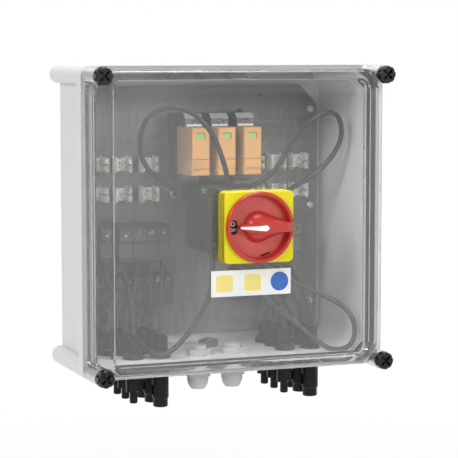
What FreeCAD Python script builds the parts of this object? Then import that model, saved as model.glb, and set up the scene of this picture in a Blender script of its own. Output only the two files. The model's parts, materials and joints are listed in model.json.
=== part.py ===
import FreeCAD, Part
import math
import os
import re
import Sketcher
from FreeCAD import Placement, Rotation, Vector

# A solar combiner box: a light grey wall enclosure with a clear lift-off cover, a rotary
# load-break switch worked from the cover, a circuit board with surge arresters, fuse clips
# and terminals, and string connectors and cable glands in the lower wall.
# Millimetres. X to the right, Z up, the box hangs on a wall at y = 0 and faces -Y.
# The origin is the centre of the four wall fixing holes, on the wall.
# A depth is a distance in front of the wall: a depth of 16 is the plane y = -16.

SIZES = [
    ("hole_span_x", 286, "corner tubes and wall holes, side to side"),
    ("hole_span_z", 280, "corner tubes and wall holes, top to bottom"),
    ("tube_radius", 9, "outside of a corner tube"),
    ("tube_rear_round", 3.5, "rounded rear end of a corner tube"),
    ("tube_bore", 5.2, "radius of the bore that takes the cover screw"),
    ("tube_floor", 8, "thickness left at the back of a corner tube"),
    ("wall_hole", 2.7, "radius of a wall fixing hole, for a 5 mm screw"),
    ("wall_inset", 2, "outside of a wall, inward from the tube axes"),
    ("wall", 3, "side walls"),
    ("back", 3, "back wall"),
    ("rear_round", 2.5, "rounding of the rear outer edges"),
    ("base_depth", 111, "base, wall to the rim's front"),
    ("rim_depth", 14, "rim flange at the front of the base"),
    ("rim_cut", 8, "slanted inside corner of the rim flange"),
    ("inner_corner", 18, "inside corner of the base behind the rim"),
    ("seam", 0.3, "gap between base and cover"),
    ("cover_over", 5.3, "outside of the cover, outward from the tube axes"),
    ("cover_wall", 4.2, "side walls of the cover"),
    ("cover_panel", 3.5, "front panel of the cover"),
    ("cover_high", 25.5, "cover's side walls, from the rim forward"),
    ("cover_corner", 20, "outside corner of the cover"),
    ("cover_cut", 14.5, "slanted inside corner of the cover"),
    ("cover_round", 4, "rounding of the cover's outer edge"),
    ("panel_step", 5.5, "front panel, forward of the side walls"),
    ("panel_inset", 17, "sides of the front panel, inward from the cover's outside"),
    ("panel_inset_z", 9, "upper and lower edge of the front panel, from the cover's outside"),
    ("panel_corner", 9, "corner of the front panel"),
    ("panel_hollow", 2.5, "edge of the hollow behind the front panel, inward from the panel's edge"),
    ("boss_high", 38.5, "corner boss of the cover, from the rim forward"),
    ("boss_bore", 4.5, "radius of the bore in a corner boss"),
    ("gasket_inset", 3.7, "outside of the gasket, inward from the cover's outside"),
    ("gasket_wide", 3.4, "width of the gasket"),
    ("gasket_cut", 13, "slanted outside corner of the gasket"),
    ("gasket_deep", 2.4, "groove that holds the gasket"),
    ("gasket_gap", 0.2, "clearance beside the gasket"),
    ("screw_head", 8.5, "radius of a cover screw's head"),
    ("screw_head_high", 8.3, "height of a cover screw's head"),
    ("screw_shank", 4.2, "radius of a cover screw's shank"),
    ("screw_thread", 4.85, "radius over a cover screw's thread"),
    ("screw_thread_long", 16, "length of a cover screw's thread"),
    ("screw_reach", 19, "how far a cover screw goes into its tube"),
    ("screw_gap", 0.2, "gap under a cover screw's head"),
    ("slot_wide", 2.4, "cross recess of a cover screw"),
    ("slot_long", 11.5, "cross recess, end to end"),
    ("slot_deep", 4.5, "depth of the cross recess"),
    ("notch_radius", 1.1, "grip notches round a cover screw's head"),
    ("board_depth", 16, "front face of the circuit board"),
    ("board_thick", 2, "circuit board"),
    ("board_side_gap", 8, "board's sides, inward from the side walls"),
    ("board_low_gap", 11, "board's lower edge, up from the lower wall"),
    ("board_high_gap", 7, "board's upper edge, down from the upper wall"),
    ("board_cut", 20, "cut corners at the top of the board"),
    ("post_radius", 4, "posts that carry the board"),
    ("post_inset", 8, "board screws, inward from the board's sides"),
    ("post_drop", 25, "upper row of board screws, down from the board's upper edge"),
    ("post_step", 100, "from row to row of board screws"),
    ("pin_radius", 1.5, "radius of a board screw"),
    ("pin_head", 3.6, "radius of a board screw's head"),
    ("pin_head_high", 2.2, "height of a board screw's head"),
    ("pin_long", 9, "length of a board screw under its head"),
    ("surge_x", -21.6, "centre of the first surge arrester"),
    ("surge_pitch", 27.3, "from one surge arrester to the next"),
    ("surge_wide", 18.4, "width of a surge arrester"),
    ("module_low", 41, "lower edge of the plug-in module"),
    ("module_tall", 47, "height of the plug-in module"),
    ("module_front", 80, "front face of the plug-in module"),
    ("socket_seat", 36, "face of the socket that the module stands on"),
    ("socket_shoulder", 50, "lower shoulder of the socket"),
    ("socket_tower", 60, "upper terminal tower of the socket"),
    ("shoulder_tall", 8, "height of the lower shoulder"),
    ("tower_tall", 13, "height of the terminal tower"),
    ("module_gap", 0.3, "clearance round a module in its socket"),
    ("blade_long", 12, "contact blade of a module"),
    ("blade_wide", 8, "width of a contact blade"),
    ("blade_thick", 1.4, "thickness of a contact blade"),
    ("clip_wide", 15, "outside width of a fuse clip"),
    ("clip_tall", 13, "height of a fuse clip along the fuse"),
    ("clip_high", 15, "how far a fuse clip stands off the board"),
    ("clip_sheet", 1, "sheet of a fuse clip"),
    ("clip_x", -85, "middle column of fuse clips on the left"),
    ("clip_step", 28, "from column to column on the left"),
    ("clip_right_x", 81, "middle column of fuse clips on the right"),
    ("clip_right_step", 24, "from column to column on the right"),
    ("clip_row", 20, "lower row of fuse clips"),
    ("clip_rise", 30, "from the lower to the upper row of clips"),
    ("block_rise", 34, "lower terminal blocks, up from the board's lower edge"),
    ("block_tall", 32, "height of a lower terminal block"),
    ("block_depth", 38, "front of the lower terminal blocks"),
    ("block_pitch", 10.2, "poles of a lower terminal block"),
    ("block_left_x", -92.4, "first pole of the lower left block"),
    ("block_right_x", 38, "first pole of the lower right block"),
    ("riser_rise", 80, "upper terminal blocks, up from the board's lower edge"),
    ("riser_tall", 35, "height of an upper terminal block"),
    ("riser_depth", 54, "front of the upper terminal blocks"),
    ("riser_pitch", 13, "poles of an upper terminal block"),
    ("riser_left_x", -89, "first pole of the upper left block"),
    ("riser_right_x", 50, "first pole of the upper right block"),
    ("entry_behind", 11, "wire entry, behind a lower block's front"),
    ("riser_entry_behind", 9, "wire entry, behind an upper block's front"),
    ("entry_deep", 6, "depth of a wire entry"),
    ("entry_gap", 0.1, "clearance round a wire in its entry"),
    ("well_radius", 3.3, "radius of a screw well"),
    ("well_deep", 3.5, "depth of a screw well"),
    ("well_drop", 7, "screw well, down from a block's upper edge"),
    ("clamp_radius", 3, "radius of a clamp screw's head"),
    ("clamp_high", 2, "height of a clamp screw's head"),
    ("switch_x", 8.7, "axis of the switch and of its handle"),
    ("switch_z", -3.3, "height of the switch axis"),
    ("switch_wide", 43, "width of the switch body"),
    ("switch_tall", 66, "height of the contact decks"),
    ("deck_depth", 52, "front of the contact decks"),
    ("drive_tall", 44, "height of the drive housing"),
    ("drive_depth", 72, "front of the drive housing"),
    ("collar_radius", 11, "collar round the shaft"),
    ("collar_depth", 80, "front of the collar"),
    ("shaft_round", 4.7, "round part of the shaft"),
    ("shaft_gap", 0.3, "clearance round the shaft"),
    ("shaft_sunk", 10, "rear end of the shaft, behind the drive housing's front"),
    ("shaft_square", 6, "width of the square shaft"),
    ("shaft_short", 3, "front end of the shaft, behind the yellow plate's face"),
    ("plate_wide", 70.8, "width of the yellow plate"),
    ("plate_tall", 68.4, "height of the yellow plate"),
    ("plate_high", 16, "yellow plate, from the panel forward"),
    ("plate_corner", 5, "corner of the yellow plate"),
    ("plate_wall", 2.5, "walls of the yellow plate"),
    ("recess_inset", 2.5, "round recess of the yellow plate, inward from the handle's edge"),
    ("recess_deep", 8, "depth of that recess"),
    ("dial_thick", 1.2, "black dial in the recess"),
    ("dial_gap", 1, "gap between the black dial and the recess"),
    ("dial_bore", 13, "bore of the black dial"),
    ("knob_gap", 0.4, "gap between the red handle and what is round it"),
    ("knob_inset", 0.2, "edge of the red handle, inward from the plate's upper and lower edges"),
    ("skirt_gap", 0.9, "gap between the red handle and the recess"),
    ("skirt_wall", 2.2, "wall of the red handle inside the recess"),
    ("knob_high", 5, "rim of the red handle, from the plate's face forward"),
    ("dish_thick", 2, "floor of the red handle"),
    ("rim_lean", 2.4, "how far the inside of the rim leans outward"),
    ("hub_radius", 15.5, "dome in the middle of the red handle"),
    ("hub_high", 11.5, "height of the dome over the floor"),
    ("grip_high", 13, "front of the grip, from the plate's face forward"),
    ("grip_half", 4.3, "half width of the grip"),
    ("grip_left", 20, "left end of the grip, from the axis"),
    ("stem_radius", 9, "stem of the red handle"),
    ("stem_deep", 13.5, "rear end of the stem, behind the yellow plate's face"),
    ("socket_gap", 0.35, "clearance round the square shaft in the stem"),
    ("clip_ring", 11.5, "outside of the retaining ring"),
    ("ring_groove", 7.8, "radius of the stem in its groove"),
    ("ring_thick", 1, "retaining ring"),
    ("inlay_thick", 0.8, "white pointer in the grip"),
    ("pointer_tail", 0.9, "half width of the white pointer at its thin end"),
    ("pointer_head", 2.8, "half width of the white pointer near its tip"),
    ("window_from_axis", 24, "dial window, from the axis"),
    ("panel_hole", 12.5, "radius of the hole in the panel for the stem"),
    ("plate_screw_at", 25, "plate screws, sideways and up from the axis"),
    ("plate_screw", 2, "radius of a plate screw"),
    ("plate_screw_head", 4, "radius of a plate screw's head"),
    ("plate_screw_long", 11, "length of a plate screw under its head"),
    ("row_behind", 28, "front row of string connectors, behind the rim's front"),
    ("row_rear", 15, "rear row of string connectors, in front of the board"),
    ("minus_left_x", -92.6, "slim connectors on the left"),
    ("plus_left_x", -65, "large connectors on the left"),
    ("minus_right_x", 66.2, "slim connectors on the right"),
    ("plus_right_x", 94.5, "large connectors on the right"),
    ("thread_radius", 7.6, "thread of a string connector"),
    ("thread_gap", 0.2, "clearance round a thread in the wall"),
    ("thread_long", 10, "thread, from the wall's outside up"),
    ("nut_flats", 19, "string connector nut, over its flats"),
    ("nut_thick", 6, "string connector nut"),
    ("washer_thick", 1, "seal under a connector's flange"),
    ("flange_radius", 9.3, "flange of a string connector"),
    ("flange_thick", 4, "thickness of that flange"),
    ("shell_radius", 6.9, "sleeve of a connector inside the box"),
    ("shell_top", 26, "top of that sleeve, from the wall's outside up"),
    ("minus_long", 40.8, "slim connector, below the wall"),
    ("minus_body", 30, "thicker part of the slim connector"),
    ("minus_radius", 6.1, "thicker part of the slim connector"),
    ("minus_tip", 3.9, "nose of the slim connector"),
    ("minus_bore", 2.6, "bore in the nose of the slim connector"),
    ("ear_wide", 15, "latch ears of the slim connector, over both"),
    ("plus_long", 45.8, "large connector, below the wall"),
    ("plus_body", 38, "thicker part of the large connector"),
    ("plus_radius", 8.2, "thicker part of the large connector"),
    ("plus_tip", 7.3, "nose of the large connector"),
    ("plus_bore", 4.6, "bore in the nose of the large connector"),
    ("mating_deep", 13, "depth of a connector's bore"),
    ("gland_left_x", -26, "left cable gland"),
    ("gland_right_x", 10, "right cable gland"),
    ("gland_thread", 7.9, "thread of a cable gland"),
    ("gland_flats", 22, "cable gland, over its flats"),
    ("gland_hex", 6, "hexagon of the gland body"),
    ("gland_spigot", 8.3, "spigot of the gland body in its cap"),
    ("spigot_long", 9, "length of that spigot"),
    ("gland_bore", 5, "cable bore of a gland"),
    ("cap_long", 24, "cap of a cable gland"),
    ("cap_hexagon", 12, "hexagon part of the cap"),
    ("cap_wall", 1.4, "wall of the cap round the seal"),
    ("cap_gap", 0.3, "clearance between cap and gland body"),
    ("seal_bore", 4, "cable bore of the gland seal"),
    ("locknut_thick", 6, "locknut of a cable gland"),
    ("vent_x", 2, "pressure vent"),
    ("vent_depth", 36, "depth of the pressure vent"),
    ("vent_radius", 9.6, "cap of the pressure vent"),
    ("vent_cap", 5, "height of the vent's cap"),
    ("vent_stem", 5.8, "stem of the pressure vent"),
    ("vent_long", 11, "stem, from the wall's outside up"),
    ("vent_nut", 6, "nut of the pressure vent"),
    ("wire_radius", 2.5, "insulated wire"),
    ("lug_radius", 4.2, "post on the board that a wire lands on"),
    ("lug_high", 10, "height of that post over the board"),
    ("surge_lug_x", -30, "post of the surge arresters' wire, sideways"),
    ("surge_lug_z", 20, "height of that post"),
    ("switch_lug_x", 42, "post of the switch's wire, sideways"),
    ("switch_lug_z", 4, "height of that post"),
]
NAMES = {name for name, _, _ in SIZES}
CORNERS = [("top_left", "-", ""), ("top_right", "", ""), ("lower_left", "-", "-"), ("lower_right", "", "-")]

doc = FreeCAD.newDocument("combiner_box")
sheet = doc.addObject("Spreadsheet::Sheet", "Sizes")
for row, (name, value, meaning) in enumerate(SIZES, start=1):
    sheet.set(f"A{row}", name)
    sheet.set(f"B{row}", str(value))
    sheet.set(f"C{row}", meaning)
    sheet.setAlias(f"B{row}", name)
doc.recompute()
nodes = {}


# Sizes and formulas

def formula(text):
    """A formula written with plain size names, as a formula on the sheet's cells."""
    return re.sub(r"[a-z]\w*", lambda word: "Sizes." * (word.group() in NAMES) + word.group(), text)


def value(text):
    """The number that a formula gives."""
    return float(sheet.evalExpression(formula(text)))


# Sketches

def new_body(label):
    body = doc.addObject("PartDesign::Body", label)
    body.Label = label
    return body


def origin_plane(body, role):
    return next(feature for feature in body.Origin.OriginFeatures if feature.Role == role)


def sketch_on(body, role, offset):
    sketch = body.newObject("Sketcher::SketchObject", body.Label + "_sketch")
    sketch.AttachmentSupport = [(origin_plane(body, role), "")]
    sketch.MapMode = "FlatFace"
    sketch.setExpression("AttachmentOffset.Base.z", formula(offset))
    return sketch


def front_sketch(body, depth):
    """A sketch parallel to the wall: across is X, up is Z, and it looks to the front."""
    return sketch_on(body, "XZ_Plane", depth)


def side_sketch(body, x):
    """A sketch square to X: across is Y, up is Z."""
    return sketch_on(body, "YZ_Plane", x)


def level_sketch(body, z):
    """A level sketch: across is X, up the page is Y."""
    return sketch_on(body, "XY_Plane", z)


def arc_middle(start, end, radius, left):
    """The middle point of the shorter arc from start to end that turns left or right."""
    chord = end - start
    sagitta = radius - math.sqrt(max(radius ** 2 - (chord.Length / 2) ** 2, 0))
    side = Vector(chord.y, -chord.x, 0).normalize()
    return (start + end) / 2 + side * (sagitta if left else -sagitta)


def outline(sketch, points):
    """A closed outline through points given as formulas. A point with a third and fourth entry,
    a radius and left or right, is joined to the next one by an arc."""
    corners = [Vector(value(p[0]), value(p[1]), 0) for p in points]
    ends = []
    for index, point in enumerate(points):
        start, end = corners[index], corners[(index + 1) % len(points)]
        if len(point) == 2:
            geometry = sketch.addGeometry(Part.LineSegment(start, end), False)
            ends.append((geometry, 1, 2))
            continue
        left = point[3] == "left"
        middle = arc_middle(start, end, value(point[2]), left)
        geometry = sketch.addGeometry(Part.Arc(start, middle, end), False)
        ends.append((geometry, 1, 2) if left else (geometry, 2, 1))
        bend = sketch.addConstraint(Sketcher.Constraint("Radius", geometry, value(point[2])))
        sketch.setExpression(f"Constraints[{bend}]", formula(point[2]))
    for index, (geometry, first, last) in enumerate(ends):
        following = ends[(index + 1) % len(ends)]
        sketch.addConstraint(Sketcher.Constraint("Coincident", geometry, last, following[0], following[1]))
        for kind, text, number in (("DistanceX", points[index][0], corners[index].x),
                                   ("DistanceY", points[index][1], corners[index].y)):
            place = sketch.addConstraint(Sketcher.Constraint(kind, -1, 1, geometry, first, number))
            sketch.setExpression(f"Constraints[{place}]", formula(text))
    return sketch


def rectangle(sketch, left, right, low, high):
    return outline(sketch, [(left, low), (right, low), (right, high), (left, high)])


def centred_rectangle(sketch, half_across, half_up, corner=None):
    """A rectangle about the sketch's origin, with round corners where a radius is given."""
    if corner is None:
        return rectangle(sketch, f"-({half_across})", half_across, f"-({half_up})", half_up)
    a, u, r = f"({half_across})", f"({half_up})", f"({corner})"
    return outline(sketch, [
        (f"{a} - {r}", f"-{u}", corner, "left"), (a, f"-{u} + {r}"),
        (a, f"{u} - {r}", corner, "left"), (f"{a} - {r}", u),
        (f"-{a} + {r}", u, corner, "left"), (f"-{a}", f"{u} - {r}"),
        (f"-{a}", f"-{u} + {r}", corner, "left"), (f"-{a} + {r}", f"-{u}")])


def cut_rectangle(sketch, half_across, half_up, cut, inward="0"):
    """A rectangle about the sketch's origin with slanted corners, all of it set inward a little."""
    a, u = f"({half_across} - ({inward}))", f"({half_up} - ({inward}))"
    c = f"({cut} - (2 - sqrt(2)) * ({inward}))"
    return outline(sketch, [(f"{a} - {c}", f"-{u}"), (a, f"-{u} + {c}"), (a, f"{u} - {c}"),
                            (f"{a} - {c}", u), (f"-{a} + {c}", u), (f"-{a}", f"{u} - {c}"),
                            (f"-{a}", f"-{u} + {c}"), (f"-{a} + {c}", f"-{u}")])


def circle(sketch, across, up, radius):
    centre = Vector(value(across), value(up), 0)
    geometry = sketch.addGeometry(Part.Circle(centre, Vector(0, 0, 1), value(radius)), False)
    for kind, text, number in (("DistanceX", across, centre.x), ("DistanceY", up, centre.y)):
        place = sketch.addConstraint(Sketcher.Constraint(kind, -1, 1, geometry, 3, number))
        sketch.setExpression(f"Constraints[{place}]", formula(text))
    bend = sketch.addConstraint(Sketcher.Constraint("Radius", geometry, value(radius)))
    sketch.setExpression(f"Constraints[{bend}]", formula(radius))
    return sketch


def hexagon(sketch, flats, turned=False):
    """A hexagon about the sketch's origin, given over its flats, with two flats square to X, or
    to the other way when it is turned."""
    half, rise = f"({flats}) / 2", f"({flats}) / sqrt(12)"
    corners = [(half, f"-{rise}"), (half, rise), ("0", f"2 * {rise}"),
               (f"-{half}", rise), (f"-{half}", f"-{rise}"), ("0", f"-2 * {rise}")]
    return outline(sketch, [(up, across) for across, up in reversed(corners)] if turned else corners)


# Features

def pad(body, sketch, length, backward=False):
    feature = body.newObject("PartDesign::Pad", body.Label + "_pad")
    feature.Profile = sketch
    feature.Reversed = backward
    feature.setExpression("Length", formula(length))
    return feature


def pocket(body, sketch, depth, forward=False):
    """Cuts against the sketch's own direction, or along it where forward is set."""
    feature = body.newObject("PartDesign::Pocket", body.Label + "_pocket")
    feature.Profile = sketch
    feature.Reversed = forward
    feature.setExpression("Length", formula(depth))
    return feature


def revolve(body, sketch, axis):
    feature = body.newObject("PartDesign::Revolution", body.Label + "_revolution")
    feature.Profile = sketch
    feature.ReferenceAxis = (sketch, [axis])
    return feature


def fillet(body, radius, chosen):
    """Rounds the edges that the test picks from the body as it stands."""
    doc.recompute()
    base = body.Tip
    edges = [f"Edge{n}" for n, edge in enumerate(base.Shape.Edges, start=1) if chosen(edge)]
    feature = body.newObject("PartDesign::Fillet", body.Label + "_fillet")
    feature.Base = (base, edges)
    feature.setExpression("Radius", formula(radius))
    return feature


def in_plane(edge, axis, place):
    """True for an edge that lies in the plane square to X, Y or Z at this place."""
    box = edge.BoundBox
    low, high = {"x": (box.XMin, box.XMax), "y": (box.YMin, box.YMax), "z": (box.ZMin, box.ZMax)}[axis]
    return abs(low - place) < 0.01 and abs(high - place) < 0.01


def keep(body, label=None, x="0", y="0", z="0"):
    """Counts a body as a finished piece, at its place."""
    for axis, text in (("x", x), ("y", y), ("z", z)):
        body.setExpression(f"Placement.Base.{axis}", formula(text))
    nodes[label or body.Label] = body
    return body


def copy_of(master, label, x="0", y="0", z="0", turn=Rotation()):
    """A copy of a modelled piece, turned and set at its place."""
    doc.recompute()
    piece = doc.addObject("Part::Feature", label)
    piece.Label = label
    shape = master.Shape.copy()
    shape.Placement = Placement()
    piece.Shape = shape
    piece.Placement = Placement(Vector(), turn)
    for axis, text in (("x", x), ("y", y), ("z", z)):
        piece.setExpression(f"Placement.Base.{axis}", formula(text))
    return piece


def group(label, pieces):
    """Like pieces that share one node, as separate solids."""
    compound = doc.addObject("Part::Compound", label)
    compound.Label = label
    compound.Links = pieces
    nodes[label] = compound


# Enclosure

WALL_X = "(hole_span_x / 2 - wall_inset)"
WALL_Z = "(hole_span_z / 2 - wall_inset)"
PANEL = "(base_depth + cover_high + panel_step)"
FACE = f"({PANEL} + plate_high)"
KNOB = "(plate_tall / 2 - knob_inset)"
RECESS_RADIUS = f"({KNOB} - recess_inset)"
SKIRT = f"({RECESS_RADIUS} - skirt_gap)"
DISH = f"({SKIRT} - skirt_wall)"
SHAFT_TIP = f"({FACE} - shaft_short)"
STEM_REAR = f"({FACE} - stem_deep)"
COVER_X = "(hole_span_x / 2 + cover_over)"
COVER_Z = "(hole_span_z / 2 + cover_over)"
FLOOR = f"(-{WALL_Z})"
BOARD_HALF = f"({WALL_X} - wall - board_side_gap)"
BOARD_LOW = f"({FLOOR} + wall + board_low_gap)"
BOARD_HIGH = f"({WALL_Z} - wall - board_high_gap)"
CONNECTORS = [("minus", side, row) for side in ("left", "right") for row in (1, 2, 3)]
CONNECTORS += [("plus", side, row) for side in ("left", "right") for row in (1, 2, 3)]
POSTS = [(f"{sign}({BOARD_HALF} - post_inset)", f"{BOARD_HIGH} - post_drop - {row} * post_step")
         for sign in ("-", "") for row in (0, 1, 2)]


def row_depth(row):
    """Depth of a row of string connectors, the front row being the first."""
    front, rear = "(base_depth - row_behind)", "(board_depth + row_rear)"
    return f"({front} - {row - 1} * ({front} - {rear}) / 2)"


def base_shell():
    """Deep moulded tray with a rim flange and four corner tubes that stand half proud of its
    walls. Each tube takes a cover screw from the front and a wall screw at its back."""
    body = new_body("base_shell")
    pad(body, centred_rectangle(front_sketch(body, "0"), WALL_X, WALL_Z), "base_depth")
    fillet(body, "rear_round", lambda edge: in_plane(edge, "y", 0))
    rim = front_sketch(body, "base_depth - rim_depth")
    pad(body, centred_rectangle(rim, "hole_span_x / 2 + tube_radius", "hole_span_z / 2 + tube_radius",
                                "tube_radius"), "rim_depth")
    for _, x_sign, z_sign in CORNERS:
        half = side_sketch(body, f"{x_sign}hole_span_x / 2")
        up = "right" if z_sign else "left"
        outline(half, [("-base_depth", f"{z_sign}hole_span_z / 2"), ("0", f"{z_sign}hole_span_z / 2"),
                       ("0", f"{z_sign}(hole_span_z / 2 + tube_radius - tube_rear_round)",
                        "tube_rear_round", up),
                       ("-tube_rear_round", f"{z_sign}(hole_span_z / 2 + tube_radius)"),
                       ("-base_depth", f"{z_sign}(hole_span_z / 2 + tube_radius)")])
        revolve(body, half, "Edge1")
    mouth = cut_rectangle(front_sketch(body, "base_depth"), f"{WALL_X} - wall", f"{WALL_Z} - wall",
                          "rim_cut")
    pocket(body, mouth, "rim_depth")
    inside = front_sketch(body, "base_depth - rim_depth")
    pocket(body, centred_rectangle(inside, f"{WALL_X} - wall", f"{WALL_Z} - wall", "inner_corner"),
           "base_depth - rim_depth - back")
    groove = front_sketch(body, "base_depth")
    for inward in ("-gasket_gap", "gasket_wide + gasket_gap"):
        cut_rectangle(groove, f"{COVER_X} - gasket_inset", f"{COVER_Z} - gasket_inset", "gasket_cut", inward)
    pocket(body, groove, "gasket_deep")
    posts = front_sketch(body, "back - 0.5")
    for across, up in POSTS:
        circle(posts, across, up, "post_radius")
    pad(body, posts, "board_depth - board_thick - back + 0.5")
    bores = front_sketch(body, "base_depth")
    wall_holes = front_sketch(body, "tube_floor")
    for _, x_sign, z_sign in CORNERS:
        circle(bores, f"{x_sign}hole_span_x / 2", f"{z_sign}hole_span_z / 2", "tube_bore")
        circle(wall_holes, f"{x_sign}hole_span_x / 2", f"{z_sign}hole_span_z / 2", "wall_hole")
    pocket(body, bores, "base_depth - tube_floor")
    pocket(body, wall_holes, "tube_floor")
    pilot = front_sketch(body, "board_depth - board_thick")
    for across, up in POSTS:
        circle(pilot, across, up, "pin_radius + entry_gap")
    pocket(body, pilot, "pin_long")
    holes = level_sketch(body, f"{FLOOR} + wall")
    for kind, side, row in CONNECTORS:
        circle(holes, f"{kind}_{side}_x", f"-{row_depth(row)}", "thread_radius + thread_gap")
    for side in ("left", "right"):
        circle(holes, f"gland_{side}_x", f"-{row_depth(1)}", "gland_thread + thread_gap")
    circle(holes, "vent_x", "-vent_depth", "vent_stem + thread_gap")
    pocket(body, holes, "wall")
    keep(body)


def cover_gasket():
    """Black sealing cord in the groove of the rim."""
    body = new_body("cover_gasket")
    ring = front_sketch(body, "base_depth - gasket_deep")
    for inward in ("0", "gasket_wide"):
        cut_rectangle(ring, f"{COVER_X} - gasket_inset", f"{COVER_Z} - gasket_inset", "gasket_cut", inward)
    pad(body, ring, "gasket_deep + seam / 2")
    keep(body)


def cover():
    """Clear lift-off cover: a shallow tray whose border slopes up to a flat front panel, hollow
    behind both, with four tall corner bosses for the cover screws."""
    body = new_body("cover")
    rear = "base_depth + seam"
    shell = centred_rectangle(front_sketch(body, rear), COVER_X, COVER_Z, "cover_corner")
    pad(body, shell, "cover_high - seam")
    border = centred_rectangle(front_sketch(body, "base_depth + cover_high"), COVER_X, COVER_Z,
                               "cover_corner")
    panel = centred_rectangle(front_sketch(body, PANEL), f"{COVER_X} - panel_inset",
                              f"{COVER_Z} - panel_inset_z", "panel_corner")
    slope = body.newObject("PartDesign::AdditiveLoft", "cover_slope")
    slope.Profile = border
    slope.Sections = [panel]
    slope.Ruled = True
    edge_depth = value("base_depth + cover_high")
    fillet(body, "cover_round", lambda edge: in_plane(edge, "y", -edge_depth))
    bosses = front_sketch(body, rear)
    for _, x_sign, z_sign in CORNERS:
        circle(bosses, f"{x_sign}hole_span_x / 2", f"{z_sign}hole_span_z / 2", "tube_radius")
    pad(body, bosses, "boss_high - seam")
    inside = front_sketch(body, rear)
    cut_rectangle(inside, f"{COVER_X} - cover_wall", f"{COVER_Z} - cover_wall", "cover_cut")
    pocket(body, inside, "cover_high - seam - cover_panel", forward=True)
    hollow = front_sketch(body, rear)
    centred_rectangle(hollow, f"{COVER_X} - panel_inset - panel_hollow",
                      f"{COVER_Z} - panel_inset_z - panel_hollow", "panel_corner - panel_hollow")
    pocket(body, hollow, f"{PANEL} - ({rear}) - cover_panel", forward=True)
    bores = front_sketch(body, "base_depth + boss_high")
    for _, x_sign, z_sign in CORNERS:
        circle(bores, f"{x_sign}hole_span_x / 2", f"{z_sign}hole_span_z / 2", "boss_bore")
    pocket(body, bores, "boss_high")
    holes = front_sketch(body, PANEL)
    circle(holes, "switch_x", "switch_z", "panel_hole")
    for across in ("-", "+"):
        for up in ("-", "+"):
            circle(holes, f"switch_x {across} plate_screw_at", f"switch_z {up} plate_screw_at",
                   "plate_screw + thread_gap")
    pocket(body, holes, "2 * cover_panel")
    keep(body)


def cover_screws():
    """Four black quarter-turn screws with a deep cross recess and a notched edge. The head's
    seat is at the local origin and the shank points to the wall."""
    master = new_body("cover_screw_master")
    profile = side_sketch(master, "0")
    reach = "(boss_high + screw_gap + screw_reach)"
    outline(profile, [(reach, "0"), (f"-screw_head_high", "0"), ("-screw_head_high", "screw_head - 1.2"),
                      ("-screw_head_high + 1.2", "screw_head"), ("0", "screw_head"), ("0", "screw_shank"),
                      (f"{reach} - screw_thread_long", "screw_shank"),
                      (f"{reach} - screw_thread_long", "screw_thread"), (f"{reach} - 1.5", "screw_thread"),
                      (reach, "screw_thread - 1.5")])
    revolve(master, profile, "H_Axis")
    far, near = "(slot_long + slot_wide) / sqrt(8)", "(slot_long - slot_wide) / sqrt(8)"
    for side in ("", "-"):
        slot = outline(front_sketch(master, "screw_head_high"), [
            (f"{side}{far}", near), (f"{side}{near}", far), (f"-({side}{far})", f"-{near}"),
            (f"-({side}{near})", f"-{far}")])
        pocket(master, slot, "slot_deep")
    notches = front_sketch(master, "screw_head_high")
    for step in range(8):
        angle = f"{45 * step + 22.5} deg"
        circle(notches, f"screw_head * cos({angle})", f"screw_head * sin({angle})", "notch_radius")
    pocket(master, notches, "screw_head_high - 2.2")
    for name, x_sign, z_sign in CORNERS:
        label = f"cover_screw_{name}"
        nodes[label] = copy_of(master, label, f"{x_sign}hole_span_x / 2",
                               "-base_depth - boss_high - screw_gap", f"{z_sign}hole_span_z / 2")


# Board and what stands on it

def circuit_board():
    """Dark board with cut upper corners, on six posts."""
    body = new_body("circuit_board")
    shape = front_sketch(body, "board_depth - board_thick")
    outline(shape, [(f"-{BOARD_HALF}", BOARD_LOW), (BOARD_HALF, BOARD_LOW),
                    (BOARD_HALF, f"{BOARD_HIGH} - board_cut"), (f"{BOARD_HALF} - board_cut", BOARD_HIGH),
                    (f"-{BOARD_HALF} + board_cut", BOARD_HIGH),
                    (f"-{BOARD_HALF}", f"{BOARD_HIGH} - board_cut")])
    pad(body, shape, "board_thick")
    holes = front_sketch(body, "board_depth")
    for across, up in POSTS:
        circle(holes, across, up, "pin_radius + entry_gap")
    for across, drop in ((f"-{BOARD_HALF} + 2 * board_cut", "8"), (f"{BOARD_HALF} / 2", "10"),
                         (f"{BOARD_HALF} / 3", "26")):
        circle(holes, across, f"{BOARD_HIGH} - {drop}", "2")
    pocket(body, holes, "board_thick")
    keep(body)


def board_screws():
    """Six pan-head screws that hold the board to its posts."""
    master = new_body("board_screw_master")
    profile = side_sketch(master, "0")
    outline(profile, [("pin_long", "0"), ("-pin_head_high", "0"), ("-pin_head_high", "pin_head - 1.2"),
                      ("-pin_head_high + 0.9", "pin_head"), ("0", "pin_head"), ("0", "pin_radius"),
                      ("pin_long", "pin_radius")])
    revolve(master, profile, "H_Axis")
    for across, up in (("pin_head / 2", "0.5"), ("0.5", "pin_head / 2")):
        pocket(master, centred_rectangle(front_sketch(master, "pin_head_high"), across, up), "1.2")
    group("board_screws", [copy_of(master, "board_screw", across, "-board_depth", up)
                           for across, up in POSTS])


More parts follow.
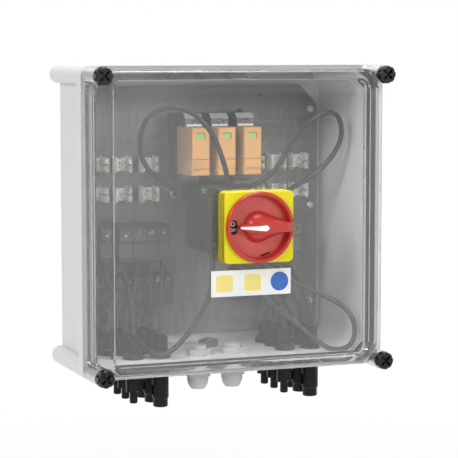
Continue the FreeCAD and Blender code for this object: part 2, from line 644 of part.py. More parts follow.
def surge_arresters():
    """Three sockets on the board, each with a plug-in module that slides out to the front."""
    socket = new_body("surge_socket_master")
    side = side_sketch(socket, "-surge_wide / 2")
    low, high = "module_low - module_gap", "(module_low + module_tall + module_gap)"
    outline(side, [("-board_depth", f"{low} - shoulder_tall"), ("-board_depth", f"{high} + tower_tall"),
                   ("-socket_tower + 6", f"{high} + tower_tall"),
                   ("-socket_tower", f"{high} + tower_tall - 5"),
                   ("-socket_tower", high), ("-socket_seat", high), ("-socket_seat", low),
                   ("-socket_shoulder", low), ("-socket_shoulder", f"{low} - shoulder_tall + 3"),
                   ("-socket_shoulder + 5", f"{low} - shoulder_tall")])
    pad(socket, side, "surge_wide")
    slots = front_sketch(socket, "socket_seat")
    for place in ("0.25", "0.75"):
        height = f"(module_low + {place} * module_tall)"
        rectangle(slots, "-blade_wide / 2 - entry_gap", "blade_wide / 2 + entry_gap",
                  f"{height} - blade_thick / 2 - entry_gap", f"{height} + blade_thick / 2 + entry_gap")
    pocket(socket, slots, "blade_long + 1")
    mouth = front_sketch(socket, "socket_tower")
    circle(mouth, "0", f"{high} + tower_tall / 2 - 1.5", "clamp_radius + module_gap")
    pocket(socket, mouth, "clamp_high + 1.5")

    module = new_body("surge_module_master")
    block = front_sketch(module, "socket_seat + module_gap")
    rectangle(block, "-surge_wide / 2", "surge_wide / 2", "module_low", "module_low + module_tall")
    pad(module, block, "module_front - socket_seat - module_gap")
    fillet(module, "1.2", lambda edge: in_plane(edge, "y", -value("module_front")))
    window = front_sketch(module, "module_front")
    rectangle(window, "-surge_wide / 4", "surge_wide / 4", "module_low + module_tall - 11",
              "module_low + module_tall - 5")
    pocket(module, window, "0.6")
    for height, thickness, deep in (("module_low + module_tall / 3", "0.7", "0.8"),
                                    ("module_low + 5", "2.4", "2.2")):
        line = front_sketch(module, "module_front")
        rectangle(line, "-surge_wide", "surge_wide", height, f"{height} + {thickness}")
        pocket(module, line, deep)
    blades = front_sketch(module, "socket_seat + module_gap")
    for place in ("0.25", "0.75"):
        height = f"(module_low + {place} * module_tall)"
        rectangle(blades, "-blade_wide / 2", "blade_wide / 2", f"{height} - blade_thick / 2",
                  f"{height} + blade_thick / 2")
    pad(module, blades, "blade_long + module_gap", backward=True)
    for number in (1, 2, 3):
        across = f"surge_x + {number - 1} * surge_pitch"
        nodes[f"surge_socket_{number}"] = copy_of(socket, f"surge_socket_{number}", across)
        nodes[f"surge_module_{number}"] = copy_of(module, f"surge_module_{number}", across)


def fuse_clips():
    """Empty spring clips for string fuses, two for each fuse: a bent sheet with two fingers
    that lean together and flare at their tips."""
    master = new_body("fuse_clip_master")
    bend = level_sketch(master, "-clip_tall / 2")
    w, s, h = "(clip_wide / 2)", "clip_sheet", "clip_high"
    outline(bend, [(f"-{w}", "0"), (w, "0"), (w, f"-0.45 * {h}"), (f"{w} - 1.5", f"-0.8 * {h}"),
                   (w, f"-{h}"), (f"{w} - 1.4 * {s}", f"-{h}"), (f"{w} - 1.5 - 1.1 * {s}", f"-0.8 * {h}"),
                   (f"{w} - {s}", f"-0.45 * {h}"), (f"{w} - {s}", f"-{s}"), (f"-{w} + {s}", f"-{s}"),
                   (f"-{w} + {s}", f"-0.45 * {h}"), (f"-{w} + 1.5 + 1.1 * {s}", f"-0.8 * {h}"),
                   (f"-{w} + 1.4 * {s}", f"-{h}"), (f"-{w}", f"-{h}"), (f"-{w} + 1.5", f"-0.8 * {h}"),
                   (f"-{w}", f"-0.45 * {h}")])
    pad(master, bend, "clip_tall")
    relief = side_sketch(master, "-clip_wide")
    rectangle(relief, "-2 * clip_high", "-0.3 * clip_high", "-clip_tall / 12", "clip_tall / 12")
    pocket(master, relief, "2 * clip_wide", forward=True)
    for side, middle, step in (("left", "clip_x", "clip_step"),
                               ("right", "clip_right_x", "clip_right_step")):
        group(f"fuse_clips_{side}", [
            copy_of(master, "fuse_clip", f"{middle} + {column} * {step}", "-board_depth",
                    f"clip_row + {level} * clip_rise") for column in (-1, 0, 1) for level in (0, 1)])


def terminal_block(label, size, x_first, poles):
    """A row of clamp terminals with a screw well over each wire entry. The size is the first
    word of its names in the sheet."""
    body = new_body(label)
    pitch, low = f"{size}_pitch", f"({BOARD_LOW} + {size}_rise)"
    high = f"({BOARD_LOW} + {size}_rise + {size}_tall)"
    left, right = f"{x_first} - {pitch} / 2 - 1", f"{x_first} + {poles - 1} * {pitch} + {pitch} / 2 + 1"
    entry = "riser_entry_behind" if size == "riser" else "entry_behind"
    side = side_sketch(body, left)
    outline(side, [("-board_depth", low), ("-board_depth", high), (f"-{size}_depth + 8", high),
                   (f"-{size}_depth", f"{high} - 3"), (f"-{size}_depth", f"{high} - 14"),
                   (f"-{size}_depth + 3", f"{high} - 17"), (f"-{size}_depth + 3", f"{low} + 4"),
                   (f"-{size}_depth + 5", low)])
    pad(body, side, f"({right}) - ({left})")
    wells = front_sketch(body, f"{size}_depth")
    entries = level_sketch(body, low)
    joints = front_sketch(body, f"{size}_depth")
    for pole in range(poles):
        across = f"{x_first} + {pole} * {pitch}"
        circle(wells, across, f"{high} - well_drop", "well_radius")
        circle(entries, across, f"-{size}_depth + {entry}", "wire_radius + entry_gap")
        if pole:
            rectangle(joints, f"{across} - {pitch} / 2 - 0.3", f"{across} - {pitch} / 2 + 0.3",
                      f"{low} - 1", f"{high} + 1")
    pocket(body, wells, "well_deep")
    pocket(body, entries, "entry_deep", forward=True)
    pocket(body, joints, "4.2")
    keep(body)
    return [(f"{x_first} + {pole} * {pitch}", f"-{size}_depth + well_deep", f"{high} - well_drop")
            for pole in range(poles)]


def clamp_screw_master():
    master = new_body("clamp_screw_master")
    pad(master, circle(front_sketch(master, "0"), "0", "0", "clamp_radius"), "clamp_high")
    slot = centred_rectangle(front_sketch(master, "clamp_high"), "clamp_radius + 1", "0.45")
    pocket(master, slot, "0.9")
    return master


def wire_posts():
    """Threaded posts on the board that the long wires land on."""
    master = new_body("wire_post_master")
    pad(master, hexagon(front_sketch(master, "0"), "2 * lug_radius"), "lug_high - 2")
    pad(master, circle(front_sketch(master, "lug_high - 2.5"), "0", "0", "wire_radius + 0.6"), "2.5")
    group("wire_posts", [copy_of(master, "wire_post", f"{lug}_x", "-board_depth", f"{lug}_z")
                         for lug in ("surge_lug", "switch_lug")])


# Switch

def switch_body():
    """Load-break switch: stacked contact decks with clamp ledges above and below, a drive
    housing in front of them and a collar round the shaft."""
    body = new_body("switch_body")
    decks = front_sketch(body, "board_depth")
    centred_rectangle(decks, "switch_wide / 2", "switch_tall / 2", "2")
    pad(body, decks, "deck_depth - board_depth")
    drive = front_sketch(body, "deck_depth")
    centred_rectangle(drive, "switch_wide / 2", "drive_tall / 2", "2")
    pad(body, drive, "drive_depth - deck_depth")
    pad(body, circle(front_sketch(body, "drive_depth"), "0", "0", "collar_radius"),
        "collar_depth - drive_depth")
    for part in ("1", "2"):
        depth = f"(board_depth + {part} * (deck_depth - board_depth) / 3)"
        for edge in ("-1", "1"):
            seam = side_sketch(body, "-switch_wide")
            rectangle(seam, f"-{depth} - 0.5", f"-{depth} + 0.5", f"{edge} * switch_tall / 2 - 1",
                      f"{edge} * switch_tall / 2 + 1")
            pocket(body, seam, "2 * switch_wide", forward=True)
    wells = front_sketch(body, "deck_depth")
    for across in ("-1.5", "-0.5", "0.5", "1.5"):
        for up in ("-1", "1"):
            circle(wells, f"{across} * switch_wide / 4", f"{up} * (switch_tall + drive_tall) / 4",
                   "clamp_radius + module_gap")
    pocket(body, wells, "clamp_high - 0.4")
    pocket(body, circle(front_sketch(body, "collar_depth"), "0", "0", "shaft_round + shaft_gap"),
           "collar_depth - drive_depth + shaft_sunk + shaft_gap")
    keep(body, x="switch_x", z="switch_z")
    return [(f"switch_x + {across} * switch_wide / 4", "-deck_depth + clamp_high - 0.4",
             f"switch_z + {up} * (switch_tall + drive_tall) / 4")
            for across, up in (("-1.5", "1"), ("0.5", "1"), ("-0.5", "-1"))]


def switch_shaft():
    """Square shaft from the switch to the handle, with a round root in the collar."""
    body = new_body("switch_shaft")
    pad(body, circle(front_sketch(body, "drive_depth - shaft_sunk"), "0", "0", "shaft_round"),
        "collar_depth - drive_depth + shaft_sunk + 3")
    pad(body, centred_rectangle(front_sketch(body, "collar_depth"), "shaft_square / 2", "shaft_square / 2"),
        f"{SHAFT_TIP} - collar_depth")
    tip = value(SHAFT_TIP)
    fillet(body, "0.8", lambda edge: in_plane(edge, "y", -tip))
    keep(body, x="switch_x", z="switch_z")


# Handle on the cover

RECESS = f"({FACE} - recess_deep)"


def handle_plate():
    """Yellow square plate, hollow behind, with a round recess in front and a bore for the stem."""
    body = new_body("handle_plate")
    rear = PANEL
    pad(body, centred_rectangle(front_sketch(body, rear), "plate_wide / 2", "plate_tall / 2",
                                "plate_corner"), "plate_high")
    face = value(FACE)
    fillet(body, "1.2", lambda edge: in_plane(edge, "y", -face))
    pocket(body, circle(front_sketch(body, FACE), "0", "0", RECESS_RADIUS), "recess_deep")
    hollow = front_sketch(body, rear)
    centred_rectangle(hollow, "plate_wide / 2 - plate_wall", "plate_tall / 2 - plate_wall",
                      "plate_corner - plate_wall")
    pocket(body, hollow, "plate_high - recess_deep - plate_wall", forward=True)
    posts = front_sketch(body, rear)
    for across in ("-", ""):
        for up in ("-", ""):
            circle(posts, f"{across}plate_screw_at", f"{up}plate_screw_at", "2 * plate_screw")
    pad(body, posts, "plate_high - recess_deep - plate_wall + 0.5")
    pocket(body, circle(front_sketch(body, RECESS), "0", "0", "stem_radius + knob_gap"),
           "recess_deep + plate_wall")
    pilot = front_sketch(body, rear)
    for across in ("-", ""):
        for up in ("-", ""):
            circle(pilot, f"{across}plate_screw_at", f"{up}plate_screw_at", "plate_screw + entry_gap")
    pocket(body, pilot, "plate_screw_long - cover_panel", forward=True)
    keep(body, x="switch_x", z="switch_z")


def dial():
    """Black dial ring on the floor of the recess, which shows through the handle's window."""
    body = new_body("switch_dial")
    ring = front_sketch(body, RECESS)
    circle(ring, "0", "0", f"{RECESS_RADIUS} - dial_gap")
    circle(ring, "0", "0", "dial_bore")
    pad(body, ring, "dial_thick")
    keep(body, x="switch_x", z="switch_z")


def handle():
    """Red rotary handle: a dished disc with a raised rim, a domed hub and a grip that runs from
    the hub to the rim. It has a dial window, a padlock slot and a square socket in its stem."""
    body = new_body("handle")
    under = f"({RECESS} + dial_thick + knob_gap)"
    floor = f"({under} + dish_thick)"
    front = f"({FACE} + knob_high)"
    dome = "((hub_high * hub_high + hub_radius * hub_radius) / (2 * hub_high))"
    profile = side_sketch(body, "0")
    outline(profile, [(f"-{STEM_REAR}", "0"), (f"-{floor} - hub_high", "0", dome, "right"),
                      (f"-{floor}", "hub_radius"), (f"-{floor}", DISH),
                      (f"-{front}", f"{DISH} + rim_lean"), (f"-{front}", f"{KNOB} - 0.8"),
                      (f"-{front} + 0.8", KNOB), (f"-{FACE} - knob_gap", KNOB),
                      (f"-{FACE} - knob_gap", SKIRT), (f"-{under}", SKIRT),
                      (f"-{under}", "stem_radius"), (f"-{STEM_REAR}", "stem_radius")])
    revolve(body, profile, "H_Axis")
    reach = f"({SKIRT} - 0.2)"
    levels = []
    for share in ("0", "0.3", "0.6", "0.8", "0.92"):
        radius = f"sqrt({dome} ^ 2 - ({share} * hub_high + {dome} - hub_high) ^ 2)"
        turn = f"(atan(grip_half / {reach}) + acos({radius} / sqrt({reach} ^ 2 + grip_half ^ 2)))"
        across, up = f"{radius} * cos({turn})", f"{radius} * sin({turn})"
        levels.append(outline(front_sketch(body, f"{floor} + {share} * hub_high"),
                              [(across, f"-{up}"), (reach, "-grip_half"), (reach, "grip_half"),
                               (across, up)]))
    web = body.newObject("PartDesign::AdditiveLoft", "handle_web")
    web.Profile = levels[0]
    web.Sections = levels[1:]
    web.Ruled = True
    ridge = front_sketch(body, floor)
    outline(ridge, [("-grip_left", "-1.5"), ("-grip_left * 0.6", "-grip_half"), (reach, "-grip_half"),
                    (reach, "grip_half"), ("-grip_left * 0.6", "grip_half"), ("-grip_left", "1.5")])
    pad(body, ridge, f"{FACE} + grip_high - {floor}")
    end = f"({KNOB} - 1.2)"
    nose = front_sketch(body, f"{FACE} + knob_gap + 0.5")
    rectangle(nose, "hub_radius", end, "-grip_half", "grip_half")
    pad(body, nose, "grip_high - knob_gap - 0.5")
    slopes = level_sketch(body, "-grip_half - 0.5")
    top = f"(-{FACE} - grip_high)"
    outline(slopes, [("-grip_left - 1", f"{top} - 1"), ("-grip_left * 0.3", f"{top} - 1"),
                     ("-grip_left * 0.3", top), ("-grip_left", f"-{FACE} - 2"),
                     ("-grip_left - 1", f"-{FACE} - 2")])
    pocket(body, slopes, "2 * grip_half + 1", forward=True)
    far = level_sketch(body, "-grip_half - 0.5")
    outline(far, [(f"{end} + 1", f"{top} - 1"), (f"{end} + 1", f"-{front} - 1"), (end, f"-{front} - 1"),
                  (f"{end} - 9", top), (f"{end} - 9", f"{top} - 1")])
    pocket(body, far, "2 * grip_half + 1", forward=True)
    windows = front_sketch(body, floor)
    u = "(-window_from_axis)"
    outline(windows, [(f"{u} + 3.7", "-3.2"), (f"{u} + 3.7", "3.2", "3.7", "left"),
                      (f"{u} - 3.7", "3.2"), (f"{u} - 3.7", "-3.2", "3.7", "left")])
    pocket(body, windows, "dish_thick")
    lock = front_sketch(body, floor)
    outline(lock, [("3.4", "-29"), ("13.2", "-26"), ("12.8", "-24.2"), ("3", "-27.2")])
    pocket(body, lock, "dish_thick")
    groove = side_sketch(body, "0")
    ring_rear = f"({RECESS} - plate_wall - knob_gap - ring_thick)"
    socket = centred_rectangle(front_sketch(body, STEM_REAR), "shaft_square / 2 + socket_gap",
                               "shaft_square / 2 + socket_gap")
    pocket(body, socket, f"{SHAFT_TIP} + 1.5 - {STEM_REAR}", forward=True)
    rectangle(groove, f"-{ring_rear} - ring_thick - 0.1", f"-{ring_rear} + 0.1", "ring_groove",
              "stem_radius + 1")
    cut = body.newObject("PartDesign::Groove", "handle_groove")
    cut.Profile = groove
    cut.ReferenceAxis = (groove, ["H_Axis"])
    keep(body, x="switch_x", z="switch_z")


def handle_ring():
    """Retaining ring behind the plate, snapped into the stem's groove."""
    body = new_body("handle_ring")
    ring = front_sketch(body, f"{RECESS} - plate_wall - knob_gap - ring_thick")
    circle(ring, "0", "0", "clip_ring")
    circle(ring, "0", "0", "ring_groove + 0.1")
    pad(body, ring, "ring_thick")
    gap = front_sketch(body, f"{RECESS} - plate_wall - knob_gap")
    rectangle(gap, "-3", "3", "0", "-2 * clip_ring")
    pocket(body, gap, "ring_thick")
    keep(body, x="switch_x", z="switch_z")


def pointer():
    """White pointer on the top of the grip: it widens from a thin end over the window to an arrow."""
    body = new_body("handle_pointer")
    left, bend, top = "(-grip_left + 0.5)", "(-grip_left * 0.3)", f"({FACE} + grip_high)"
    shape = front_sketch(body, FACE)
    outline(shape, [(left, "-pointer_tail"), ("pointer_head", "-pointer_head"), ("2 * pointer_head", "0"),
                    ("pointer_head", "pointer_head"), (left, "pointer_tail")])
    pad(body, shape, "grip_high + inlay_thick")
    fall = "(grip_high - 2) / (0.7 * grip_left)"
    low = f"(-{top} + ({bend} - {left} + 1) * {fall})"
    behind = level_sketch(body, "-2 * pointer_head")
    outline(behind, [(f"{left} - 1", f"-{FACE} + 1"), (f"{left} - 1", low), (bend, f"-{top}"),
                     ("3 * pointer_head", f"-{top}"), ("3 * pointer_head", f"-{FACE} + 1")])
    pocket(body, behind, "4 * pointer_head", forward=True)
    before = level_sketch(body, "-2 * pointer_head")
    outline(before, [(f"{left} - 1", f"{low} - inlay_thick"), (f"{left} - 1", f"-{top} - 2 * inlay_thick"),
                     (bend, f"-{top} - 2 * inlay_thick"), (bend, f"-{top} - inlay_thick")])
    pocket(body, before, "4 * pointer_head", forward=True)
    keep(body, x="switch_x", z="switch_z")


def plate_screws():
    """Four screws from inside the cover that hold the yellow plate."""
    master = new_body("plate_screw_master")
    profile = side_sketch(master, "0")
    outline(profile, [("2.4", "0"), ("-plate_screw_long", "0"), ("-plate_screw_long", "plate_screw"),
                      ("0", "plate_screw"), ("0", "plate_screw_head"), ("1.4", "plate_screw_head"),
                      ("2.4", "plate_screw_head - 1.4")])
    revolve(master, profile, "H_Axis")
    group("plate_screws", [copy_of(master, "plate_screw", f"switch_x {a} plate_screw_at",
                                   f"-{PANEL} + cover_panel", f"switch_z {b} plate_screw_at")
                           for a in ("-", "+") for b in ("-", "+")])


# Connectors, glands and vent in the lower wall. The wall's outside is the local origin.

def connector_master(kind):
    """A string connector: the sleeve and thread inside, the flange, the body and the nose below.
    The slim one has latch ears, the large one latch windows."""
    master = new_body(f"{kind}_connector_master")
    profile = front_sketch(master, "0")
    body_end = f"{kind}_body"
    outline(profile, [("0", f"-{kind}_long"), (f"{kind}_tip - 0.7", f"-{kind}_long"),
                      (f"{kind}_tip", f"-{kind}_long + 0.7"), (f"{kind}_tip", f"-{body_end}"),
                      (f"{kind}_radius", f"-{body_end} + 1.5"),
                      (f"{kind}_radius", "-washer_thick - flange_thick - 1.5"),
                      ("flange_radius", "-washer_thick - flange_thick"), ("flange_radius", "-washer_thick"),
                      ("thread_radius", "-washer_thick"), ("thread_radius", "thread_long"),
                      ("shell_radius", "thread_long"), ("shell_radius", "shell_top - 2.5"),
                      ("wire_radius + 1", "shell_top"), ("0", "shell_top")])
    revolve(master, profile, "V_Axis")
    bore = level_sketch(master, f"-{kind}_long")
    pocket(master, circle(bore, "0", "0", f"{kind}_bore"), "mating_deep", forward=True)
    if kind == "minus":
        ears = level_sketch(master, "-minus_body")
        centred_rectangle(ears, "ear_wide / 2", "1.8")
        pad(master, ears, "minus_body - washer_thick - flange_thick - 6")
        contact = level_sketch(master, "-minus_long + 3")
        pad(master, circle(contact, "0", "0", "minus_bore - 1.2"), "mating_deep")
    else:
        for turn in ("-1", "1"):
            window = side_sketch(master, f"{turn} * plus_radius")
            rectangle(window, "-2.6", "2.6", "-plus_body + 4", "-plus_body + 14")
            pocket(master, window, "2", forward=turn == "-1")
        contact = level_sketch(master, "-plus_long + 3")
        ring = circle(contact, "0", "0", "plus_bore - 1.4")
        circle(ring, "0", "0", "1.7")
        pad(master, ring, "mating_deep")
    return master


def string_connectors():
    masters = {kind: connector_master(kind) for kind in ("minus", "plus")}
    nut = new_body("connector_nut_master")
    pad(nut, hexagon(level_sketch(nut, "wall"), "nut_flats", turned=True), "nut_thick")
    pocket(nut, circle(level_sketch(nut, "wall + nut_thick"), "0", "0", "thread_radius + entry_gap"),
           "nut_thick")
    washer = new_body("connector_seal_master")
    ring = circle(level_sketch(washer, "0"), "0", "0", "flange_radius + 0.4")
    circle(ring, "0", "0", "thread_radius + entry_gap")
    pad(washer, ring, "washer_thick", backward=True)
    nuts, seals = [], []
    for kind, side, row in CONNECTORS:
        place = (f"{kind}_{side}_x", f"-{row_depth(row)}", FLOOR)
        label = f"string_{kind}_{side}_{row}"
        nodes[label] = copy_of(masters[kind], label, *place)
        nuts.append(copy_of(nut, "connector_nut", *place))
        seals.append(copy_of(washer, "connector_seal", *place))
    group("connector_nuts", nuts)
    group("connector_seals", seals)


def cable_glands():
    """Two cable glands: a body through the wall, a locknut inside, a domed cap and a seal."""
    gland = new_body("gland_body_master")
    pad(gland, hexagon(level_sketch(gland, "0"), "gland_flats"), "gland_hex", backward=True)
    pad(gland, circle(level_sketch(gland, "-0.5"), "0", "0", "gland_thread"), "thread_long + wall + 0.5")
    pad(gland, circle(level_sketch(gland, "-gland_hex + 0.5"), "0", "0", "gland_spigot"),
        "spigot_long + 0.5", backward=True)
    pocket(gland, circle(level_sketch(gland, "-gland_hex - spigot_long"), "0", "0", "gland_bore"),
           "gland_hex + spigot_long + thread_long + wall", forward=True)

    cap = new_body("gland_cap_master")
    top, end = "(-gland_hex - cap_gap)", "(-gland_hex - cap_gap - cap_long)"
    pad(cap, hexagon(level_sketch(cap, top), "gland_flats"), "cap_hexagon", backward=True)
    dome = front_sketch(cap, "0")
    outline(dome, [("0", f"{top} - cap_hexagon + 0.5"), ("0", end), ("gland_bore + 2", end, "16", "left"),
                   ("gland_flats / 2 - 0.6", f"{top} - cap_hexagon"),
                   ("gland_flats / 2 - 0.6", f"{top} - cap_hexagon + 0.5")])
    revolve(cap, dome, "V_Axis")
    pocket(cap, circle(level_sketch(cap, top), "0", "0", "gland_spigot + cap_gap"),
           "cap_long - 3 * cap_wall")
    pocket(cap, circle(level_sketch(cap, top), "0", "0", "gland_bore"), "cap_long")

    seal = new_body("gland_seal_master")
    ring = circle(level_sketch(seal, "-gland_hex - spigot_long - cap_gap"), "0", "0", "gland_spigot")
    circle(ring, "0", "0", "seal_bore")
    pad(seal, ring, "cap_long - 3 * cap_wall - spigot_long", backward=True)

    locknut = new_body("gland_locknut_master")
    pad(locknut, hexagon(level_sketch(locknut, "wall"), "gland_flats"), "locknut_thick")
    pocket(locknut, circle(level_sketch(locknut, "wall + locknut_thick"), "0", "0",
                           "gland_thread + entry_gap"), "locknut_thick")
    for side in ("left", "right"):
        place = (f"gland_{side}_x", f"-{row_depth(1)}", FLOOR)
        nodes[f"gland_body_{side}"] = copy_of(gland, f"gland_body_{side}", *place)
        nodes[f"gland_cap_{side}"] = copy_of(cap, f"gland_cap_{side}", *place)
    for label, master in (("gland_seals", seal), ("gland_locknuts", locknut)):
        group(label, [copy_of(master, label[:-1], f"gland_{side}_x", f"-{row_depth(1)}", FLOOR)
                      for side in ("left", "right")])


def pressure_vent():
    """Breather plug in the lower wall, with its nut inside."""
    vent = new_body("vent_plug_master")
    profile = front_sketch(vent, "0")
    outline(profile, [("0", "-vent_cap"), ("vent_radius - 1.5", "-vent_cap"),
                      ("vent_radius", "-vent_cap + 1.5"), ("vent_radius", "0"), ("vent_stem", "0"),
                      ("vent_stem", "vent_long"), ("0", "vent_long")])
    revolve(vent, profile, "V_Axis")
    pocket(vent, circle(level_sketch(vent, "vent_long"), "0", "0", "vent_stem / 2"), "vent_long - 1")
    nut = new_body("vent_nut_master")
    ring = circle(level_sketch(nut, "wall"), "0", "0", "vent_radius + 0.2")
    circle(ring, "0", "0", "vent_stem + entry_gap")
    pad(nut, ring, "vent_nut")
    for label, master in (("vent_plug", vent), ("vent_nut", nut)):
        nodes[label] = copy_of(master, label, "vent_x", "-vent_depth", FLOOR)


# Wires. Each route is a list of points chosen by hand, straight out of one end and straight
# into the other, with an arc round every point between.

SLEEVE_TOP = f"({FLOOR} + shell_top)"
BLOCK_Y = "(-block_depth + entry_behind)"
RISER_Y = "(-riser_depth + riser_entry_behind)"
BLOCK_Z = f"({BOARD_LOW} + block_rise + entry_deep)"
RISER_Z = f"({BOARD_LOW} + riser_rise + entry_deep)"
# Bends of the string wires by row: how far on the way from sleeve to terminal, sideways, forward and up
BENDS = {1: [(0, 0, 0.216), (0.55, 0.383, 0.486), (1, 1, 0.73)],
         2: [(0, 0, 0.216), (0.7, 0.75, 0.514), (1, 1, 0.757)],
         3: [(0, 0, 0.25), (1, 1, 0.607)]}


def wire_tube(label, points, radius):
    """A round wire along straight runs joined by tangent arcs."""
    edges, bends, start = [], [], points[0]
    for before, at, after in zip(points, points[1:], points[2:]):
        back, on = (before - at).normalize(), (after - at).normalize()
        half_turn = (math.pi - back.getAngle(on)) / 2
        short = min((before - at).Length, (after - at).Length)
        bend = 0.45 * short / math.tan(half_turn)
        trim = 0.45 * short
        middle = at + (back + on).normalize() * (bend / math.cos(half_turn) - bend)
        edges += [Part.LineSegment(start, at + back * trim).toShape(),
                  Part.Arc(at + back * trim, middle, at + on * trim).toShape()]
        start = at + on * trim
        bends.append(bend)
    edges.append(Part.LineSegment(start, points[-1]).toShape())
    path = Part.Wire(edges)
    section = Part.Wire(Part.Circle(points[0], points[1] - points[0], radius).toShape())
    tube = path.makePipeShell([section], True, False)
    expected = math.pi * radius ** 2 * path.Length
    print(f"{label}: {path.Length:.0f} mm, tightest bend {min(bends):.1f} mm, "
          f"volume {tube.Volume / expected:.4f} of section times length")
    piece = doc.addObject("Part::Feature", label)
    piece.Label = label
    piece.Shape = tube
    return piece


def string_wire(kind, side, row, size, pole):
    """A wire from the top of a connector's sleeve up into a pole of a terminal block."""
    end_y, end_z = (BLOCK_Y, BLOCK_Z) if size == "block" else (RISER_Y, RISER_Z)
    start = Vector(value(f"{kind}_{side}_x"), -value(row_depth(row)), value(SLEEVE_TOP))
    end = Vector(value(f"{size}_{side}_x + {pole} * {size}_pitch"), value(end_y), value(end_z))
    way = end - start
    between = [start + Vector(across * way.x, forward * way.y, up * way.z)
               for across, forward, up in BENDS[row]]
    return wire_tube(f"{kind}_{side}_{row}", [start, *between, end], value("wire_radius"))


def string_wires():
    """Twelve wires from the connectors' sleeves to the terminal blocks."""
    for side, minus_pole, plus_pole in (("left", 0, 3), ("right", 3, 5)):
        group(f"string_wires_{side}", [
            string_wire("minus", side, 1, "riser", 0), string_wire("minus", side, 2, "riser", 1),
            string_wire("plus", side, 1, "riser", 3), string_wire("plus", side, 2, "riser", 2),
            string_wire("minus", side, 3, "block", minus_pole),
            string_wire("plus", side, 3, "block", plus_pole)])


ROUTES = {
    "surge_cable": [
        (-30, -26, 20), (-30, -53.3, 20), (-59.7, -65.6, 35.9), (-79.9, -75.3, 53.7), (-87.6, -87.5, 77.7),
        (-76.6, -102.3, 98.9), (-52.1, -114.8, 102.2), (-29.6, -119.6, 85.9), (-13.6, -116.4, 62.5),
        (-3.5, -108, 38), (3.3, -79, 24.2), (3.3, -50.4, 24.2)],
    "upper_cable": [
        (24.8, -50.4, 24.2), (24.8, -77.4, 24.2), (56, -86, 44), (67, -92.3, 72.6), (85.2, -98, 94),
        (112.7, -97, 99.3), (126.5, -88.6, 78.4), (117.1, -79.3, 53.1), (96.8, -70.5, 34.7),
        (72.9, -63, 20.5), (42, -53.1, 4), (42, -26, 4)],
    "lower_cable": [
        (14.1, -50.4, -30.8), (14.1, -70.1, -30.8), (19.7, -82.1, -50), (29, -89.6, -66.6),
        (41.9, -94.1, -81.8), (57, -98.4, -94.9), (72.7, -102.4, -107.3), (87.7, -104.8, -121.1),
        (105.2, -107.3, -131), (124.8, -109.7, -128.5), (133, -109.1, -111.1), (123.8, -106.1, -93.5),
        (106.8, -102.6, -82.7), (88.6, -98.8, -74.3), (70.4, -94.8, -65.8), (53.3, -90.4, -55.5),
        (38.2, -83.2, -43.8), (24.8, -70.5, -30.8), (24.8, -50.4, -30.8)],
    "minus_cable": [
        (-7.4, -50.4, -30.8), (-7.4, -71.6, -30.8), (-10.5, -83.3, -53.5), (-15.4, -89.7, -73.9),
        (-24.6, -92.9, -93.5), (-38.8, -96.4, -109.7), (-57.1, -99.2, -121.2), (-76, -90.9, -124.9),
        (-79.6, -69.6, -123.4), (-79.1, -48.5, -117.8), (-82.2, -27, -105.2), (-82.2, -27, -84)],
}


def long_cables():
    """The long wires that loop through the box between the switch and the board."""
    for label, route in ROUTES.items():
        nodes[label] = wire_tube(label, [Vector(*point) for point in route], value("wire_radius"))


# The whole box

base_shell()
cover_gasket()
cover()
cover_screws()
circuit_board()
board_screws()
surge_arresters()
fuse_clips()
clamp_places = terminal_block("terminals_lower_left", "block", "block_left_x", 6)
clamp_places += terminal_block("terminals_lower_right", "block", "block_right_x", 6)
clamp_places += terminal_block("terminals_upper_left", "riser", "riser_left_x", 4)
clamp_places += terminal_block("terminals_upper_right", "riser", "riser_right_x", 4)
clamp_places += [(f"surge_x + {number} * surge_pitch", "-socket_tower + clamp_high + 1.5",
                  "module_low + module_tall + module_gap + tower_tall / 2 - 1.5") for number in (0, 1, 2)]
clamp_places += switch_body()
clamp_screw = clamp_screw_master()
group("clamp_screws", [copy_of(clamp_screw, "clamp_screw", *place) for place in clamp_places])
wire_posts()
switch_shaft()
handle_plate()
dial()
handle()
handle_ring()
pointer()
plate_screws()
string_connectors()
cable_glands()
pressure_vent()
string_wires()
long_cables()
doc.recompute()

# Checks of the document, then the files

failed = [obj.Label for obj in doc.Objects if {"Invalid", "Error"} & set(obj.State)]
if failed:
    raise RuntimeError(f"objects that failed: {failed}")
for label, piece in nodes.items():
    if piece.Shape.isNull() or not piece.Shape.isValid() or not piece.Shape.Solids:
        raise RuntimeError(f"{label} has no valid solid")
os.makedirs("parts", exist_ok=True)
for label, piece in nodes.items():
    piece.Shape.exportStep(f"parts/{label}.step")
print(len(nodes), "nodes,", sum(len(piece.Shape.Solids) for piece in nodes.values()), "solids")
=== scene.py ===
import json
import math

import bpy
import numpy as np
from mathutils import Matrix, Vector


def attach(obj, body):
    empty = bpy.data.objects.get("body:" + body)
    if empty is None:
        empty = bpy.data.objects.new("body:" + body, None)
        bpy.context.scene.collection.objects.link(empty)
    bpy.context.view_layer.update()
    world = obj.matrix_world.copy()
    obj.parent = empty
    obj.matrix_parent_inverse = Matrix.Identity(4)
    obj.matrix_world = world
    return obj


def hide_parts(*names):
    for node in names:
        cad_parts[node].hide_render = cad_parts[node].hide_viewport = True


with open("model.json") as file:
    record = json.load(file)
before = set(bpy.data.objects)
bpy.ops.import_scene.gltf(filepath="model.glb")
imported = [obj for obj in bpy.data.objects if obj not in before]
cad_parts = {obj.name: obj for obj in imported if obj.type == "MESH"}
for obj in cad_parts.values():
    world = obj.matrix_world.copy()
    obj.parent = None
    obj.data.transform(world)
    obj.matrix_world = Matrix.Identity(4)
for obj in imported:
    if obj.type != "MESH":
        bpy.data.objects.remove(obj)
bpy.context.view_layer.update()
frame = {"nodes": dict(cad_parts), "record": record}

NODES = frame["nodes"]

